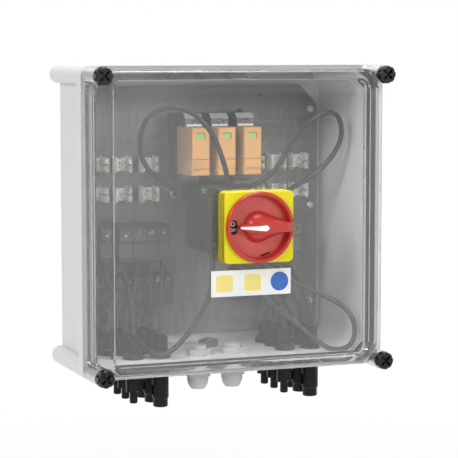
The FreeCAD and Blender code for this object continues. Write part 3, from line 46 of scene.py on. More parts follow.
# Places that the solids share with this scene, in metres
SWITCH = (0.0087, -0.0033)
PANEL = 0.142
DIAL_FACE = 0.1512
DISH_FLOOR = 0.1536
TOWER_FACE = 0.060
ARRESTERS = (-0.0216, 0.0273, 3)
ARRESTER_HALF = 0.0092
MODULE_FACE = 0.080
MODULE_LOW, MODULE_HIGH = 0.041, 0.088
BOARD_FACE = 0.016
RIM_FACE = 0.111


# Values and finishes

class Value:
    """One socket of a finish. Sums, products and powers of values add their nodes to it."""

    def __init__(self, finish, socket):
        self.finish = finish
        self.socket = socket

    def with_other(self, operation, other, swapped=False):
        """The operation on this value and another, which comes first when they are swapped."""
        pair = (other, self) if swapped else (self, other)
        return self.finish.maths(operation, *pair)

    def __add__(self, other):
        return self.with_other("ADD", other)

    def __radd__(self, other):
        return self.with_other("ADD", other, True)

    def __sub__(self, other):
        return self.with_other("SUBTRACT", other)

    def __rsub__(self, other):
        return self.with_other("SUBTRACT", other, True)

    def __mul__(self, other):
        return self.with_other("MULTIPLY", other)

    def __rmul__(self, other):
        return self.with_other("MULTIPLY", other, True)

    def __truediv__(self, other):
        return self.with_other("DIVIDE", other)

    def __rtruediv__(self, other):
        return self.with_other("DIVIDE", other, True)

    def __pow__(self, other):
        return self.with_other("POWER", other)

    def __neg__(self):
        return self * -1.0

    def __abs__(self):
        return self.finish.maths("ABSOLUTE", self)

    def __lt__(self, other):
        return self.with_other("LESS_THAN", other)

    def __gt__(self, other):
        return self.with_other("GREATER_THAN", other)

    def wrap(self, period):
        """What is left over after whole periods, from nought to one period."""
        return self.finish.maths("FLOORED_MODULO", self, period)

    def between(self, low, high):
        """One between low and high, nought elsewhere."""
        return (self > low) * (self < high)

    def fade(self, low, high):
        """Nought below low, one above high, smooth between."""
        node = self.finish.add("ShaderNodeMapRange", {"interpolation_type": "SMOOTHSTEP"},
                               {"Value": self, "From Min": low, "From Max": high})
        return Value(self.finish, node.outputs["Result"])


class Finish:
    """A material, or the world, that is built up node by node."""

    def __init__(self, name, kind="materials"):
        self.owner = getattr(bpy.data, kind).new(name)
        self.owner.use_nodes = True
        self.tree = self.owner.node_tree
        self.tree.nodes.clear()
        self.end = "ShaderNodeOutputWorld" if kind == "worlds" else "ShaderNodeOutputMaterial"
        coordinates = self.add("ShaderNodeTexCoord").outputs
        self.place = coordinates["Object"]
        self.outward = coordinates["Normal"]

    def add(self, kind, settings=None, sockets=None):
        """Any node, by its type, its settings and its sockets' values or links."""
        node = self.tree.nodes.new(kind)
        for name, setting in (settings or {}).items():
            setattr(node, name, setting)
        for name, what in (sockets or {}).items():
            if isinstance(what, Value):
                self.tree.links.new(what.socket, node.inputs[name])
            elif isinstance(what, bpy.types.NodeSocket):
                self.tree.links.new(what, node.inputs[name])
            else:
                node.inputs[name].default_value = what
        return node

    def maths(self, operation, *values):
        """A Math node on the values, which are sockets or plain numbers."""
        node = self.add("ShaderNodeMath", {"operation": operation}, dict(enumerate(values)))
        return Value(self, node.outputs[0])

    def split(self, vector):
        """The three parts of a vector."""
        node = self.add("ShaderNodeSeparateXYZ", None, {0: vector})
        return [Value(self, output) for output in node.outputs]

    def axes(self):
        """The place on the piece along X, Y and Z, in metres."""
        return self.split(self.place)

    def facing(self):
        """How far the surface faces along X, Y and Z, from minus one to one."""
        return self.split(self.outward)

    def background(self):
        """One for what the camera, a gloss or the clear cover shows of the background, and nought
        for the light that falls on the object."""
        path = self.add("ShaderNodeLightPath").outputs
        camera, gloss, through, scattered = (
            Value(self, path[name]) for name in
            ("Is Camera Ray", "Is Glossy Ray", "Is Transmission Ray", "Diffuse Depth"))
        seen = self.maths("MAXIMUM", self.maths("MAXIMUM", camera, gloss), through)
        return seen * (scattered < 0.5), gloss, through

    def dark_card(self, x, y):
        """One for what lies straight in front of the box as seen in a mirror, nought beside it."""
        lean = x / -y
        return lean.fade(0.32, 0.39) * (1 - lean.fade(0.42, 0.80))

    def noise(self, size, detail=2.0, rough=0.5, stretch=(1, 1, 1)):
        """Soft random mottling whose patches measure about the size given in metres."""
        place = self.place
        if stretch != (1, 1, 1):
            place = self.add("ShaderNodeMapping", None, {"Vector": place, "Scale": stretch}).outputs[0]
        node = self.add("ShaderNodeTexNoise", None,
                        {"Vector": place, "Scale": 1 / size, "Detail": detail, "Roughness": rough})
        return Value(self, node.outputs["Fac"])

    def colour(self, mask, low, high):
        """A colour that goes from low to high as the mask goes from nought to one."""
        node = self.add("ShaderNodeMix", {"data_type": "RGBA"}, {0: mask, 6: low, 7: high})
        return node.outputs[2]

    def bump(self, height, depth, strength=1.0):
        """A normal that follows the height, whose full step is the depth in metres."""
        node = self.add("ShaderNodeBump", None,
                        {"Height": height, "Distance": depth, "Strength": strength})
        return node.outputs[0]

    def surface(self, **sockets):
        """The everyday surface, with sockets named in lower case with underscores."""
        names = {"base_color": "Base Color", "roughness": "Roughness", "metallic": "Metallic",
                 "normal": "Normal", "specular": "Specular IOR Level", "ior": "IOR",
                 "transmission": "Transmission Weight"}
        return self.add("ShaderNodeBsdfPrincipled", None,
                        {names[key]: what for key, what in sockets.items()})

    def done(self, shader):
        """The finished material or world, with the shader on its output."""
        self.add(self.end, None, {"Surface": shader.outputs[0]})
        return self.owner


def shade(colour, amount):
    """A colour made lighter or darker by a share of itself."""
    return tuple(min(1.0, part * (1 + amount)) for part in colour[:3]) + (1.0,)


def moulded(name, colour, roughness, grain=0.00045, depth=0.00002, uneven=0.04, specular=0.5):
    """Moulded plastic: a fine spark-eroded grain, faint flow clouds and slightly uneven gloss."""
    finish = Finish(name)
    cloud = finish.noise(0.045, 3.0)
    fine = finish.noise(grain, 2.0)
    tone = finish.colour(cloud.fade(0.3, 0.7), shade(colour, -uneven), shade(colour, uneven))
    gloss = roughness + (finish.noise(0.02, 2.0) - 0.5) * 0.12 + (fine - 0.5) * 0.08
    return finish.done(finish.surface(base_color=tone, roughness=gloss, specular=specular,
                                      normal=finish.bump(fine, depth)))


def enclosure():
    """Pale moulded base: a fine grain and faint flow clouds, darker on the rim's face, which the
    cover keeps in its shade except at the right edge."""
    finish = Finish("enclosure")
    x, y, _ = finish.axes()
    cloud = finish.noise(0.045, 3.0)
    fine = finish.noise(0.0006)
    tone = finish.colour(cloud.fade(0.3, 0.7), (0.670, 0.672, 0.668, 1), (0.690, 0.692, 0.688, 1))
    shaded = (-y).fade(RIM_FACE - 0.0006, RIM_FACE - 0.0002) * (1 - x.fade(0.144, 0.148))
    tone = finish.colour(shaded, tone, (0.38, 0.382, 0.38, 1))
    gloss = 0.42 + (finish.noise(0.02) - 0.5) * 0.12 + (fine - 0.5) * 0.08
    return finish.done(finish.surface(base_color=tone, roughness=gloss,
                                      normal=finish.bump(fine, 0.00003)))


def clamp_steel():
    """Zinc-plated screws deep in their wells, painted dark for the shade there, with a few small painted
    glints.
    """
    finish = Finish("clamp_steel")
    glints = finish.noise(0.0016, 1.0).fade(0.60, 0.66)
    fine = finish.noise(0.0004, 2.0)
    # Painted shade in the dark tone, and painted highlights in the bright glint specks
    tone = finish.colour(glints, (0.075, 0.074, 0.062, 1), (0.80, 0.80, 0.66, 1))
    return finish.done(finish.surface(base_color=tone, metallic=0.3, roughness=0.4 - glints * 0.1,
                                      normal=finish.bump(fine, 0.00003)))


def metal(name, colour, roughness):
    """Plated metal: drawn lines, soft dents in its gloss and small dull spots."""
    finish = Finish(name)
    lines = finish.noise(0.0004, 3.0, 0.6, (0.2, 1, 1))
    spots = finish.noise(0.003, 3.0).fade(0.55, 0.75)
    tone = finish.colour(spots, shade(colour, 0.02), shade(colour, -0.12))
    gloss = roughness + (lines - 0.5) * 0.15 + spots * 0.12
    return finish.done(finish.surface(base_color=tone, metallic=1.0, roughness=gloss,
                                      normal=finish.bump(lines, 0.00002, 0.6)))


def clear_cover():
    """Clear polycarbonate that bends and mirrors light. It lets the lamps reach what is inside,
    with less of their light through its thick edges, which spread it."""
    finish = Finish("clear_cover")
    x, _, z = finish.axes()
    lamps = finish.add("ShaderNodeLightPath").outputs["Is Shadow Ray"]
    smears = finish.noise(0.05, 4.0, 0.6).fade(0.45, 0.8)
    border = finish.maths("MAXIMUM", abs(x).fade(0.139, 0.144), abs(z).fade(0.136, 0.141))
    body = finish.surface(base_color=(0.965, 0.97, 0.97, 1), roughness=smears * 0.05, ior=1.58,
                          transmission=0.965)
    middle, edge = (finish.add("ShaderNodeBsdfTransparent", None, {"Color": (part, part, part, 1)})
                    for part in (0.96, 0.70))
    lit = finish.add("ShaderNodeMixShader", None, {0: border, 1: middle.outputs[0], 2: edge.outputs[0]})
    mixed = finish.add("ShaderNodeMixShader", None, {0: lamps, 1: body.outputs[0], 2: lit.outputs[0]})
    return finish.done(mixed)


def clip_tin():
    """Tinned spring strip: frosty and bright, full of small dents that glitter, with dull spots
    of flux between them."""
    finish = Finish("clip_tin")
    dents = finish.noise(0.0030, 3.0, 0.8)
    spots = finish.noise(0.0022, 2.0, 0.6).fade(0.52, 0.66)
    tone = finish.colour(spots, (0.98, 0.98, 0.93, 1), (0.24, 0.24, 0.19, 1))
    return finish.done(finish.surface(base_color=tone, metallic=0.1, roughness=0.2 + spots * 0.25,
                                      normal=finish.bump(dents, 0.0020)))


def board():
    """Dark solder mask over copper: wide fields and tracks that show through as slightly lighter
    bands, a faint weave, and a few tinned holes, with painted shade darkening it towards the top."""
    finish = Finish("board")
    x, _, z = finish.axes()
    upright = (finish.noise(0.008, 1.0, 0.4, (1, 1, 0.15)) - 0.5) * 14.0
    level = (finish.noise(0.008, 1.0, 0.4, (0.15, 1, 1)) - 0.56) * 14.0
    copper = finish.maths("MAXIMUM", upright.fade(-0.3, 0.3), level.fade(-0.3, 0.3))
    weave = finish.noise(0.0006, 1.0)
    tone = finish.colour(copper, (0.098, 0.100, 0.099, 1), (0.130, 0.132, 0.130, 1))
    # Painted shade: darker towards the top, which the base's top wall keeps from the light
    tone = finish.colour(z.fade(0.095, 0.118), tone, (0.048, 0.049, 0.049, 1))
    across = abs(x.wrap(0.0381) - 0.019)
    up = abs(z.wrap(0.0254) - 0.0127)
    holes = ((across * across + up * up) ** 0.5).fade(0.0006, 0.0008)
    tinned = (1 - holes) * (finish.noise(0.02).fade(0.55, 0.57))
    colour = finish.colour(tinned, tone, (0.30, 0.30, 0.27, 1))
    return finish.done(finish.surface(base_color=colour, roughness=0.42 - copper * 0.06,
                                      metallic=tinned * 0.8,
                                      normal=finish.bump(weave + copper * 2.0, 0.00003)))


def arrester():
    """Orange moulding: a browner orange painted on its sides as shade, a pale green flag in the window
    with a painted shadow of its recess above and beside it, and a dark joint between the two halves of its
    front."""
    finish = Finish("arrester_orange")
    x, y, z = finish.axes()
    sideways, outward, _ = finish.facing()
    first, pitch, _ = ARRESTERS
    across = (x - first + pitch / 2).wrap(pitch) - pitch / 2
    fine = finish.noise(0.0005)
    cloud = finish.noise(0.03)
    front = outward < -0.9
    flag = front * (y > -MODULE_FACE + 0.0003) * z.between(MODULE_HIGH - 0.011, MODULE_HIGH - 0.005)
    # Painted shadow of the window's recess: a dark edge along the flag's top and right side
    edge = flag * (1 - (across < ARRESTER_HALF / 2 - 0.0010) * (z < MODULE_HIGH - 0.0060))
    joint = z.between(MODULE_LOW + 0.01560, MODULE_LOW + 0.01645) * (y < -MODULE_FACE + 0.0009)
    tone = finish.colour(cloud, (0.70, 0.35, 0.10, 1), (0.78, 0.40, 0.12, 1))
    # Painted shade: the sides get a browner, duller orange than the front
    tone = finish.colour(abs(sideways) > 0.7, tone, (0.60, 0.40, 0.22, 1))
    tone = finish.colour(flag, tone, (0.30, 0.58, 0.17, 1))
    tone = finish.colour(finish.maths("MAXIMUM", edge, joint), tone, (0.30, 0.15, 0.05, 1))
    return finish.done(finish.surface(base_color=tone, roughness=0.42 + (fine - 0.5) * 0.1,
                                      normal=finish.bump(fine, 0.00002)))


def arrester_socket():
    """Dark grey moulding whose sloped terminal shoulders are faced with a pale strip."""
    finish = Finish("arrester_grey")
    _, y, _ = finish.axes()
    _, _, upward = finish.facing()
    shoulder = upward.between(0.3, 0.95) * (y < -0.050)
    fine = finish.noise(0.0005)
    cloud = finish.noise(0.03)
    tone = finish.colour(cloud, (0.12, 0.125, 0.135, 1), (0.15, 0.155, 0.165, 1))
    tone = finish.colour(shoulder, tone, (0.50, 0.50, 0.49, 1))
    return finish.done(finish.surface(base_color=tone, roughness=0.5 + (fine - 0.5) * 0.1,
                                      normal=finish.bump(fine, 0.00002)))


def plate_yellow():
    """Yellow moulding with a fine grain, and left-facing sides painted darker in streaks as shade."""
    finish = Finish("handle_yellow")
    sideways, _, _ = finish.facing()
    fine = finish.noise(0.0005)
    cloud = finish.noise(0.04, 3.0)
    tone = finish.colour(cloud, (0.70, 0.62, 0.002, 1), (0.73, 0.65, 0.003, 1))
    # Painted shade: the left-facing sides get a darker, streaked yellow
    streaks = finish.noise(0.004, 2.0, 0.5, (1, 1, 0.1)).fade(0.35, 0.65)
    side = finish.colour(streaks, (0.26, 0.19, 0.002, 1), (0.46, 0.37, 0.004, 1))
    tone = finish.colour(sideways < -0.7, tone, side)
    return finish.done(finish.surface(base_color=tone, roughness=0.36 + (fine - 0.5) * 0.1, specular=0.3,
                                      normal=finish.bump(fine, 0.00002)))


def handle_red():
    """Red moulding: deep and glossy on the hub, the grip and the rim, and a paler red on the floor
    of the dish, which is a painted reflection."""
    finish = Finish("handle_red")
    _, y, _ = finish.axes()
    fine = finish.noise(0.0005)
    cloud = finish.noise(0.03, 3.0)
    raised = (-y).fade(DISH_FLOOR + 0.0002, DISH_FLOOR + 0.0030)
    # Painted reflection: a paler red on the dish's floor
    painted_sheen_red = finish.colour(cloud, (0.52, 0.075, 0.054, 1), (0.57, 0.090, 0.068, 1))
    deep_red = finish.colour(cloud, (0.44, 0.026, 0.020, 1), (0.48, 0.034, 0.026, 1))
    tone = finish.colour(raised, painted_sheen_red, deep_red)
    return finish.done(finish.surface(base_color=tone, roughness=0.36 - raised * 0.1 + (fine - 0.5) * 0.08,
                                      normal=finish.bump(fine, 0.00002)))


def sheathed(name, colour):
    """Rubbery cable sheath: matt, with a faint drawn grain."""
    finish = Finish(name)
    fine = finish.noise(0.0008, 3.0)
    cloud = finish.noise(0.02)
    tone = finish.colour(cloud, shade(colour, -0.2), shade(colour, 0.2))
    return finish.done(finish.surface(base_color=tone, roughness=0.46 + (fine - 0.5) * 0.2,
                                      normal=finish.bump(fine, 0.00003)))


FINISHES = {
    "enclosure": enclosure(),
    "clear_cover": clear_cover(),
    "gasket": moulded("gasket", (0.012, 0.012, 0.012), 0.7, specular=0.2),
    "screw_black": moulded("screw_black", (0.008, 0.008, 0.009), 0.25, specular=0.3),
    "board": board(),
    "bright_metal": metal("bright_metal", (0.82, 0.81, 0.79), 0.2),
    "clip_tin": clip_tin(),
    "clamp_steel": clamp_steel(),
    "arrester_orange": arrester(),
    "arrester_grey": arrester_socket(),
    "terminal_grey": moulded("terminal_grey", (0.050, 0.052, 0.054), 0.5),
    "switch_grey": moulded("switch_grey", (0.025, 0.025, 0.028), 0.5),
    "handle_yellow": plate_yellow(),
    "handle_red": handle_red(),
    "pointer_white": moulded("pointer_white", (0.85, 0.85, 0.85), 0.35),
    "connector_black": moulded("connector_black", (0.006, 0.006, 0.008), 0.3, specular=0.2),
    # Painted shade: the glands are the base's pale grey, given a darker grey for the shade beneath the box
    "gland_grey": moulded("gland_grey", (0.42, 0.425, 0.42), 0.45),
    "vent_grey": moulded("vent_grey", (0.10, 0.105, 0.11), 0.5),
    "wire_black": sheathed("wire_black", (0.022, 0.023, 0.024)),
    "label_white": moulded("label_white", (0.77, 0.775, 0.785), 0.4, 0.001, 0.00001, 0.01),
    "label_yellow": moulded("label_yellow", (0.78, 0.66, 0.20), 0.4, 0.001, 0.00001, 0.02),
    "label_blue": moulded("label_blue", (0.03, 0.12, 0.45), 0.4, 0.001, 0.00001, 0.02),
}
NODE_SLOTS = {part["node"]: part["material_slot"] for part in frame["record"]["subparts"]}
OWN_FINISH = {"fuse_clips_left": "clip_tin", "fuse_clips_right": "clip_tin",
              "clamp_screws": "clamp_steel"}
for name, node in NODES.items():
    node.data.materials.clear()
    node.data.materials.append(FINISHES[OWN_FINISH.get(name, NODE_SLOTS[name])])


# New pieces

def piece(name, points, faces, finish, body, smooth=True):
    """A mesh piece that rides on a body."""
    mesh = bpy.data.meshes.new(name)
    mesh.from_pydata([tuple(point) for point in points], [], [tuple(face) for face in faces])
    mesh.validate()
    mesh.polygons.foreach_set("use_smooth", [smooth] * len(mesh.polygons))
    mesh.materials.append(FINISHES[finish])
    made = bpy.data.objects.new(name, mesh)
    bpy.context.scene.collection.objects.link(made)
    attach(made, body)


# The springs of the fuse clips: for each half the middle column and the step, and the rows' heights

CLIPS = {"left": (-0.085, 0.028), "right": (0.081, 0.024)}
CLIP_ROWS = (0.020, 0.050)
CHEEK_STEPS = (24, 30)


def spring_cheek(x, z, side):
    """One curved cheek of a fuse clip, from the board forward. Its line across bulges outward by a
    sine and flares at the tip by a square. Upward it is crimped by a cosine, and its ends are
    scalloped by another. An outer and an inner sheet are closed along their edges."""
    rows, columns = CHEEK_STEPS
    along, up = np.meshgrid(np.linspace(0, 1, rows), np.linspace(-1, 1, columns), indexing="ij")
    flare = np.clip((along - 0.8) / 0.2, 0, 1) ** 2
    bulge = 0.0066 + 0.0026 * np.sin(np.pi * along ** 0.8) + 0.0015 * flare
    crimp = 0.00035 * np.cos(7 * np.pi * up) * np.sin(np.pi * along)
    height = z + up * (0.0080 + 0.0008 * np.cos(5 * np.pi * along))
    depth = BOARD_FACE + 0.0002 + 0.0155 * along
    sheets = [np.stack([x + side * (bulge + crimp + lift), -depth, height], axis=-1).reshape(-1, 3)
              for lift in (0.0, 0.0006)]
    index = np.arange(rows * columns).reshape(rows, columns)
    grid = np.stack([index[:-1, :-1], index[1:, :-1], index[1:, 1:], index[:-1, 1:]], axis=-1)
    grid = grid.reshape(-1, 4)
    rim = np.concatenate([index[0, :-1], index[:-1, -1], index[-1, :0:-1], index[:0:-1, 0]])
    after = np.roll(rim, -1)
    walls = np.column_stack([rim, after, after + index.size, rim + index.size])
    faces = np.vstack([grid[:, ::-1], grid + index.size, walls])
    return np.vstack(sheets), faces if side < 0 else faces[:, ::-1]


def clip_springs(name, middle, step):
    """Both cheeks of each of the six clips on one half of the board."""
    points, faces, count = [], [], 0
    for column in (-1, 0, 1):
        for z in CLIP_ROWS:
            for side in (-1, 1):
                cheek, panes = spring_cheek(middle + column * step, z, side)
                points.append(cheek)
                faces.append(panes + count)
                count += len(cheek)
    piece(name, np.vstack(points), np.vstack(faces).tolist(), "clip_tin", "enclosure")


for half, (middle, step) in CLIPS.items():
    clip_springs(f"clip_springs_{half}", middle, step)


# Cords: the routes of the solids, in metres, with some points moved after the photograph's loops.
# Known fault: near its lowest points lower_cable lies up to 1.4 mm inside the base's lower wall.

ROUTES = {
    "surge_cable": [
        (-0.030, -0.026, 0.020), (-0.030, -0.0533, 0.020), (-0.0597, -0.0656, 0.0359),
        (-0.0799, -0.0753, 0.0537), (-0.0886, -0.0875, 0.0797), (-0.0806, -0.1023, 0.1064),
        (-0.0521, -0.1148, 0.1112), (-0.0276, -0.1196, 0.0909), (-0.0136, -0.1164, 0.0625),
        (-0.0035, -0.108, 0.038), (0.0033, -0.079, 0.0242), (0.0033, -0.0504, 0.0242)],
    "upper_cable": [
        (0.0248, -0.0504, 0.0242), (0.0248, -0.0774, 0.0242), (0.056, -0.086, 0.044),
        (0.067, -0.0923, 0.0726), (0.0852, -0.098, 0.096), (0.1147, -0.097, 0.1058),
        (0.1275, -0.0886, 0.0794), (0.1171, -0.0793, 0.0531), (0.0968, -0.0705, 0.0347),
        (0.0729, -0.063, 0.0205), (0.042, -0.0531, 0.004), (0.042, -0.026, 0.004)],
    "lower_cable": [
        (0.0141, -0.0504, -0.0308), (0.0141, -0.0701, -0.0308), (0.0197, -0.0821, -0.050),
        (0.029, -0.0896, -0.0666), (0.0419, -0.0941, -0.0818), (0.057, -0.0984, -0.0949),
        (0.0727, -0.1024, -0.1073), (0.0877, -0.1048, -0.1211), (0.1052, -0.1073, -0.135),
        (0.1278, -0.1097, -0.1325), (0.133, -0.1091, -0.1111), (0.1238, -0.1061, -0.0935),
        (0.1068, -0.1026, -0.0827), (0.0886, -0.0988, -0.0743), (0.0704, -0.0948, -0.0658),
        (0.0533, -0.0904, -0.0555), (0.0382, -0.0832, -0.0438), (0.0248, -0.0705, -0.0308),
        (0.0248, -0.0504, -0.0308)],
    "minus_cable": [
        (-0.0074, -0.0504, -0.0308), (-0.0074, -0.0716, -0.0308), (-0.0105, -0.0833, -0.0535),
        (-0.0154, -0.0897, -0.0739), (-0.0246, -0.0929, -0.0915), (-0.0388, -0.0964, -0.1087),
        (-0.0591, -0.0992, -0.1283), (-0.0775, -0.0965, -0.1308), (-0.0796, -0.0696, -0.1234),
        (-0.0791, -0.0485, -0.1178), (-0.0822, -0.027, -0.1052), (-0.0822, -0.027, -0.084)],
}
WIRE = 0.005


def spline_length(curve):
    """Length of the curve's own line, from points close together on it."""
    bare = curve.data.copy()
    bare.bevel_depth = 0.0
    probe = bpy.data.objects.new("probe", bare)
    mesh = bpy.data.meshes.new_from_object(probe)
    places = np.empty(3 * len(mesh.vertices))
    mesh.vertices.foreach_get("co", places)
    steps = np.diff(places.reshape(-1, 3), axis=0)
    bpy.data.objects.remove(probe)
    bpy.data.meshes.remove(mesh)
    bpy.data.curves.remove(bare)
    return float(np.linalg.norm(steps, axis=1).sum())


def cable(name, route):
    """A round cable on a smooth line whose control points are the route's points."""
    data = bpy.data.curves.new(name + "_line", "CURVE")
    data.dimensions = "3D"
    data.resolution_u = 16
    data.bevel_depth = WIRE / 2
    data.bevel_resolution = 6
    data.use_fill_caps = True
    spline = data.splines.new("NURBS")
    spline.points.add(len(route) - 1)
    spline.points.foreach_set("co", [number for point in route for number in (*point, 1.0)])
    spline.order_u = 3
    spline.use_endpoint_u = True
    data.materials.append(FINISHES["wire_black"])
    made = bpy.data.objects.new(name + "_sheath", data)
    bpy.context.scene.collection.objects.link(made)
    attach(made, "enclosure")
    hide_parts(name)
    spline_length(made)


for name, route in ROUTES.items():
    cable(name, route)


# The lip of the sealing cord

def slanted(across, up, cut):
    """Corner points of a rectangle about the middle whose corners are cut off at 45 degrees."""
    return np.array([(across, up - cut), (across - cut, up), (cut - across, up), (-across, up - cut),
                     (-across, cut - up), (cut - across, -up), (across - cut, -up), (across, cut - up)])


def gasket_lip():
    """A thin black band on the rim just inside the cord: two rings of slanted corners, joined
    in front, behind and at their edges."""
    rings = [np.column_stack([ring[:, 0], np.full(8, -depth), ring[:, 1]])
             for ring in (slanted(0.1414, 0.1384, 0.0111), slanted(0.1386, 0.1356, 0.0095))
             for depth in (RIM_FACE - 0.0001, RIM_FACE + 0.0002)]
    index = np.arange(8)
    after = (index + 1) % 8
    faces = [np.column_stack([a * 8 + index, a * 8 + after, b * 8 + after, b * 8 + index])
             for a, b in ((0, 1), (1, 3), (3, 2), (2, 0))]
    piece("gasket_lip", np.vstack(rings), np.vstack(faces).tolist(), "gasket", "enclosure",
          smooth=False)


gasket_lip()


# The plain label under the handle

def flat_plate(name, outline, back, front, finish, body, slot):
    """A thin plate that faces the front: the outline, anticlockwise as seen from there, swept
    from back to front, both depths in front of the wall, and closed at both ends."""
    across = np.asarray(outline, float)
    count = len(across)
    rings = [np.column_stack([across[:, 0], np.full(count, -depth), across[:, 1]])
             for depth in (back, front)]
    index = np.arange(count)
    walls = np.column_stack([index, (index + 1) % count, (index + 1) % count + count, index + count])
    faces = [tuple(wall) for wall in walls] + [tuple(index[::-1])] + [tuple(index + count)]
    piece(name, np.vstack(rings), faces, finish, body, smooth=False)


def rounded(left, right, low, high, radius):
    """Corner points of a rectangle whose corners are quarter circles, each by the cosine and the
    sine of equal turns about its middle."""
    turn = np.linspace(0, np.pi / 2, 6)
    corners = [(right - radius, high - radius, 0), (left + radius, high - radius, 1),
               (left + radius, low + radius, 2), (right - radius, low + radius, 3)]
    return np.vstack([np.column_stack([x + radius * np.cos(turn + quarter * np.pi / 2),
                                       z + radius * np.sin(turn + quarter * np.pi / 2)])
                      for x, z, quarter in corners])


def disc(x, z, radius):
    """Corner points of a round plate, by the cosine and the sine of equal turns about its middle."""
    turn = np.linspace(0, 2 * np.pi, 48, endpoint=False)
    return np.column_stack([x + radius * np.cos(turn), z + radius * np.sin(turn)])


def plain_label():
    """The white label on the cover, with its two square fields and its round one."""
    sheet = (PANEL - 0.0001, PANEL + 0.0003)
    print_depths = (PANEL + 0.0002, PANEL + 0.00042)
    half = 0.0085
    flat_plate("label", rounded(-0.0340, 0.0480, -0.0705, -0.0455, 0.0006), *sheet,
               "label_white", "lid", "pointer_white")
    for number, x in enumerate((-0.0205, 0.0085)):
        flat_plate(f"label_field_{number + 1}", rounded(x - half, x + half, -0.0660, -0.0500, 0.0020),
                   *print_depths, "label_yellow", "lid", "handle_yellow")
    flat_plate("label_field_3", disc(0.0362, -0.0578, 0.0092), *print_depths,
               "label_blue", "lid", "pointer_white")


plain_label()


# A bare white strip on the terminal tower of each surge arrester

def tower_strips():
    """One thin strip above each module."""
    first, pitch, count = ARRESTERS
    half = 0.0080
    low, high = MODULE_HIGH + 0.0006, MODULE_HIGH + 0.0027
    for number in range(count):
        middle = first + number * pitch
        flat_plate(f"tower_strip_{number + 1}", rounded(middle - half, middle + half, low, high, 0.0003),
                   TOWER_FACE - 0.0001, TOWER_FACE + 0.0003, "label_white", "enclosure",
                   "pointer_white")


tower_strips()


# Marks on the dial, seen through the handle's window

def words(name, text, size, x, z, depth, body):
    """Raised marks made from outlines of letters, a tenth of a millimetre thick."""
    data = bpy.data.curves.new(name, "FONT")
    data.body = text
    data.size = size
    data.align_x = "CENTER"
    data.align_y = "CENTER"
    data.extrude = 0.00005
    source = bpy.data.objects.new(name + "_source", data)
    bpy.context.scene.collection.objects.link(source)
    mesh = bpy.data.meshes.new_from_object(source)
    bpy.data.objects.remove(source)
    places = np.empty(3 * len(mesh.vertices))
    mesh.vertices.foreach_get("co", places)
    across, up, out = places.reshape(-1, 3).T
    moved = np.column_stack([x + across, -depth - out, z + up])
    mesh.vertices.foreach_set("co", moved.ravel())
    mesh.materials.clear()
    mesh.materials.append(FINISHES["pointer_white"])
    made = bpy.data.objects.new(name, mesh)
    bpy.context.scene.collection.objects.link(made)
    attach(made, body)


for name, text, size, along, above in (("dial_off_nought", "O", 0.0060, -0.0240, 0.0028),
                                       ("dial_off", "OFF", 0.0042, -0.0240, -0.0030),
                                       ("dial_on_one", "I", 0.0060, 0, 0.0268),
                                       ("dial_on", "ON", 0.0042, 0, 0.0210)):
    words(name, text, size, SWITCH[0] + along, SWITCH[1] + above, DIAL_FACE + 0.00005, "lid")


# Light, floor and camera

FLOOR_LEVEL = -0.42
FLOOR_HALF = 20.0
LAMP_AIM = (0, -0.08, 0)
CAMERA_PLACE = (-0.64234, -1.76830, 0.16709)
CAMERA_TURN = 21.0719
CAMERA_PITCH = 5.6617
CAMERA_LENS = 144.82


def lamp(name, place, size, power):
    """A rectangular lamp that faces the middle of the box."""
    data = bpy.data.lights.new(name, "AREA")
    data.shape = "RECTANGLE"
    data.size = size[0]
    data.size_y = size[1]
    data.energy = power
    made = bpy.data.objects.new(name, data)
    made.location = place
    aim = Vector(LAMP_AIM) - Vector(place)
    made.rotation_euler = aim.to_track_quat("-Z", "Y").to_euler()
    bpy.context.scene.collection.objects.link(made)


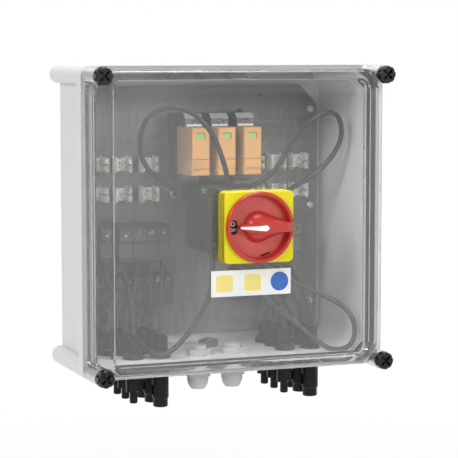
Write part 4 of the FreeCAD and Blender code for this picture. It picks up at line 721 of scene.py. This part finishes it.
def floor():
    """A wide level floor of pale paper under the box, a hand's breadth below the connectors. Far
    from the box it is plain white to the camera, and near it keeps the box's soft shadow. What
    mirrors it shows the room in front and to the right a little darker."""
    low, far = FLOOR_LEVEL, FLOOR_HALF
    mesh = bpy.data.meshes.new("floor")
    corners = [(-far, -far, low), (far, -far, low), (far, far, low), (-far, far, low)]
    mesh.from_pydata(corners, [], [(0, 1, 2, 3)])
    finish = Finish("floor_paper")
    x, y, _ = finish.axes()
    near = 1 - ((x * x + y * y) ** 0.5).fade(0.3, 1.1)
    paper = finish.add("ShaderNodeBsdfDiffuse", None, {"Color": (0.85, 0.85, 0.85, 1)})
    seen, gloss, through = finish.background()
    dark = (-y).fade(3.0, 14.0) * finish.dark_card(x, y) * gloss
    beside = (1 - y.fade(0.4, 2.0)) * through
    white = finish.add("ShaderNodeEmission", None, {"Strength": 1 - dark * 0.75 - beside * 0.6})
    mixed = finish.add("ShaderNodeMixShader", None, {0: seen * (1 - near * 0.4), 1: paper.outputs[0],
                                                     2: white.outputs[0]})
    mesh.materials.append(finish.done(mixed))
    made = bpy.data.objects.new("floor", mesh)
    bpy.context.scene.collection.objects.link(made)


def studio():
    """Soft light from all round, and white wherever the background itself shows. The clear
    cover's edges, which bend the view to the sides, show the room there darker."""
    finish = Finish("studio", "worlds")
    x, y, _ = finish.axes()
    seen, gloss, _ = finish.background()
    beside = 1 - abs(y).fade(0.45, 0.85)
    ahead = (-y).fade(0.5, 0.85) * finish.dark_card(x, y)
    level = 0.5 + seen * (0.5 - gloss * (0.1 + ahead * 0.6) - beside * 0.5)
    bpy.context.scene.world = finish.done(
        finish.add("ShaderNodeBackground", None, {"Color": (1, 1, 1, 1), "Strength": level}))


def camera():
    """The photograph's camera, turned to the right and pitched down from its place."""
    data = bpy.data.cameras.new("camera")
    data.sensor_width = 36.0
    data.lens = CAMERA_LENS
    made = bpy.data.objects.new("camera", data)
    made.location = CAMERA_PLACE
    turn, pitch = math.radians(CAMERA_TURN), math.radians(CAMERA_PITCH)
    level = math.cos(pitch)
    aim = Vector((math.sin(turn) * level, math.cos(turn) * level, -math.sin(pitch)))
    made.rotation_euler = aim.to_track_quat("-Z", "Y").to_euler()
    bpy.context.scene.collection.objects.link(made)
    bpy.context.scene.camera = made


lamp("key", (-1.9, -1.4, 1.1), (0.6, 0.6), 20.5)
lamp("front", (0.9, -2.2, 0.6), (0.5, 0.5), 13)
lamp("top", (0.1, -0.4, 2.0), (1.4, 0.9), 32)
floor()
studio()
camera()
bpy.context.scene.view_settings.view_transform = "Standard"
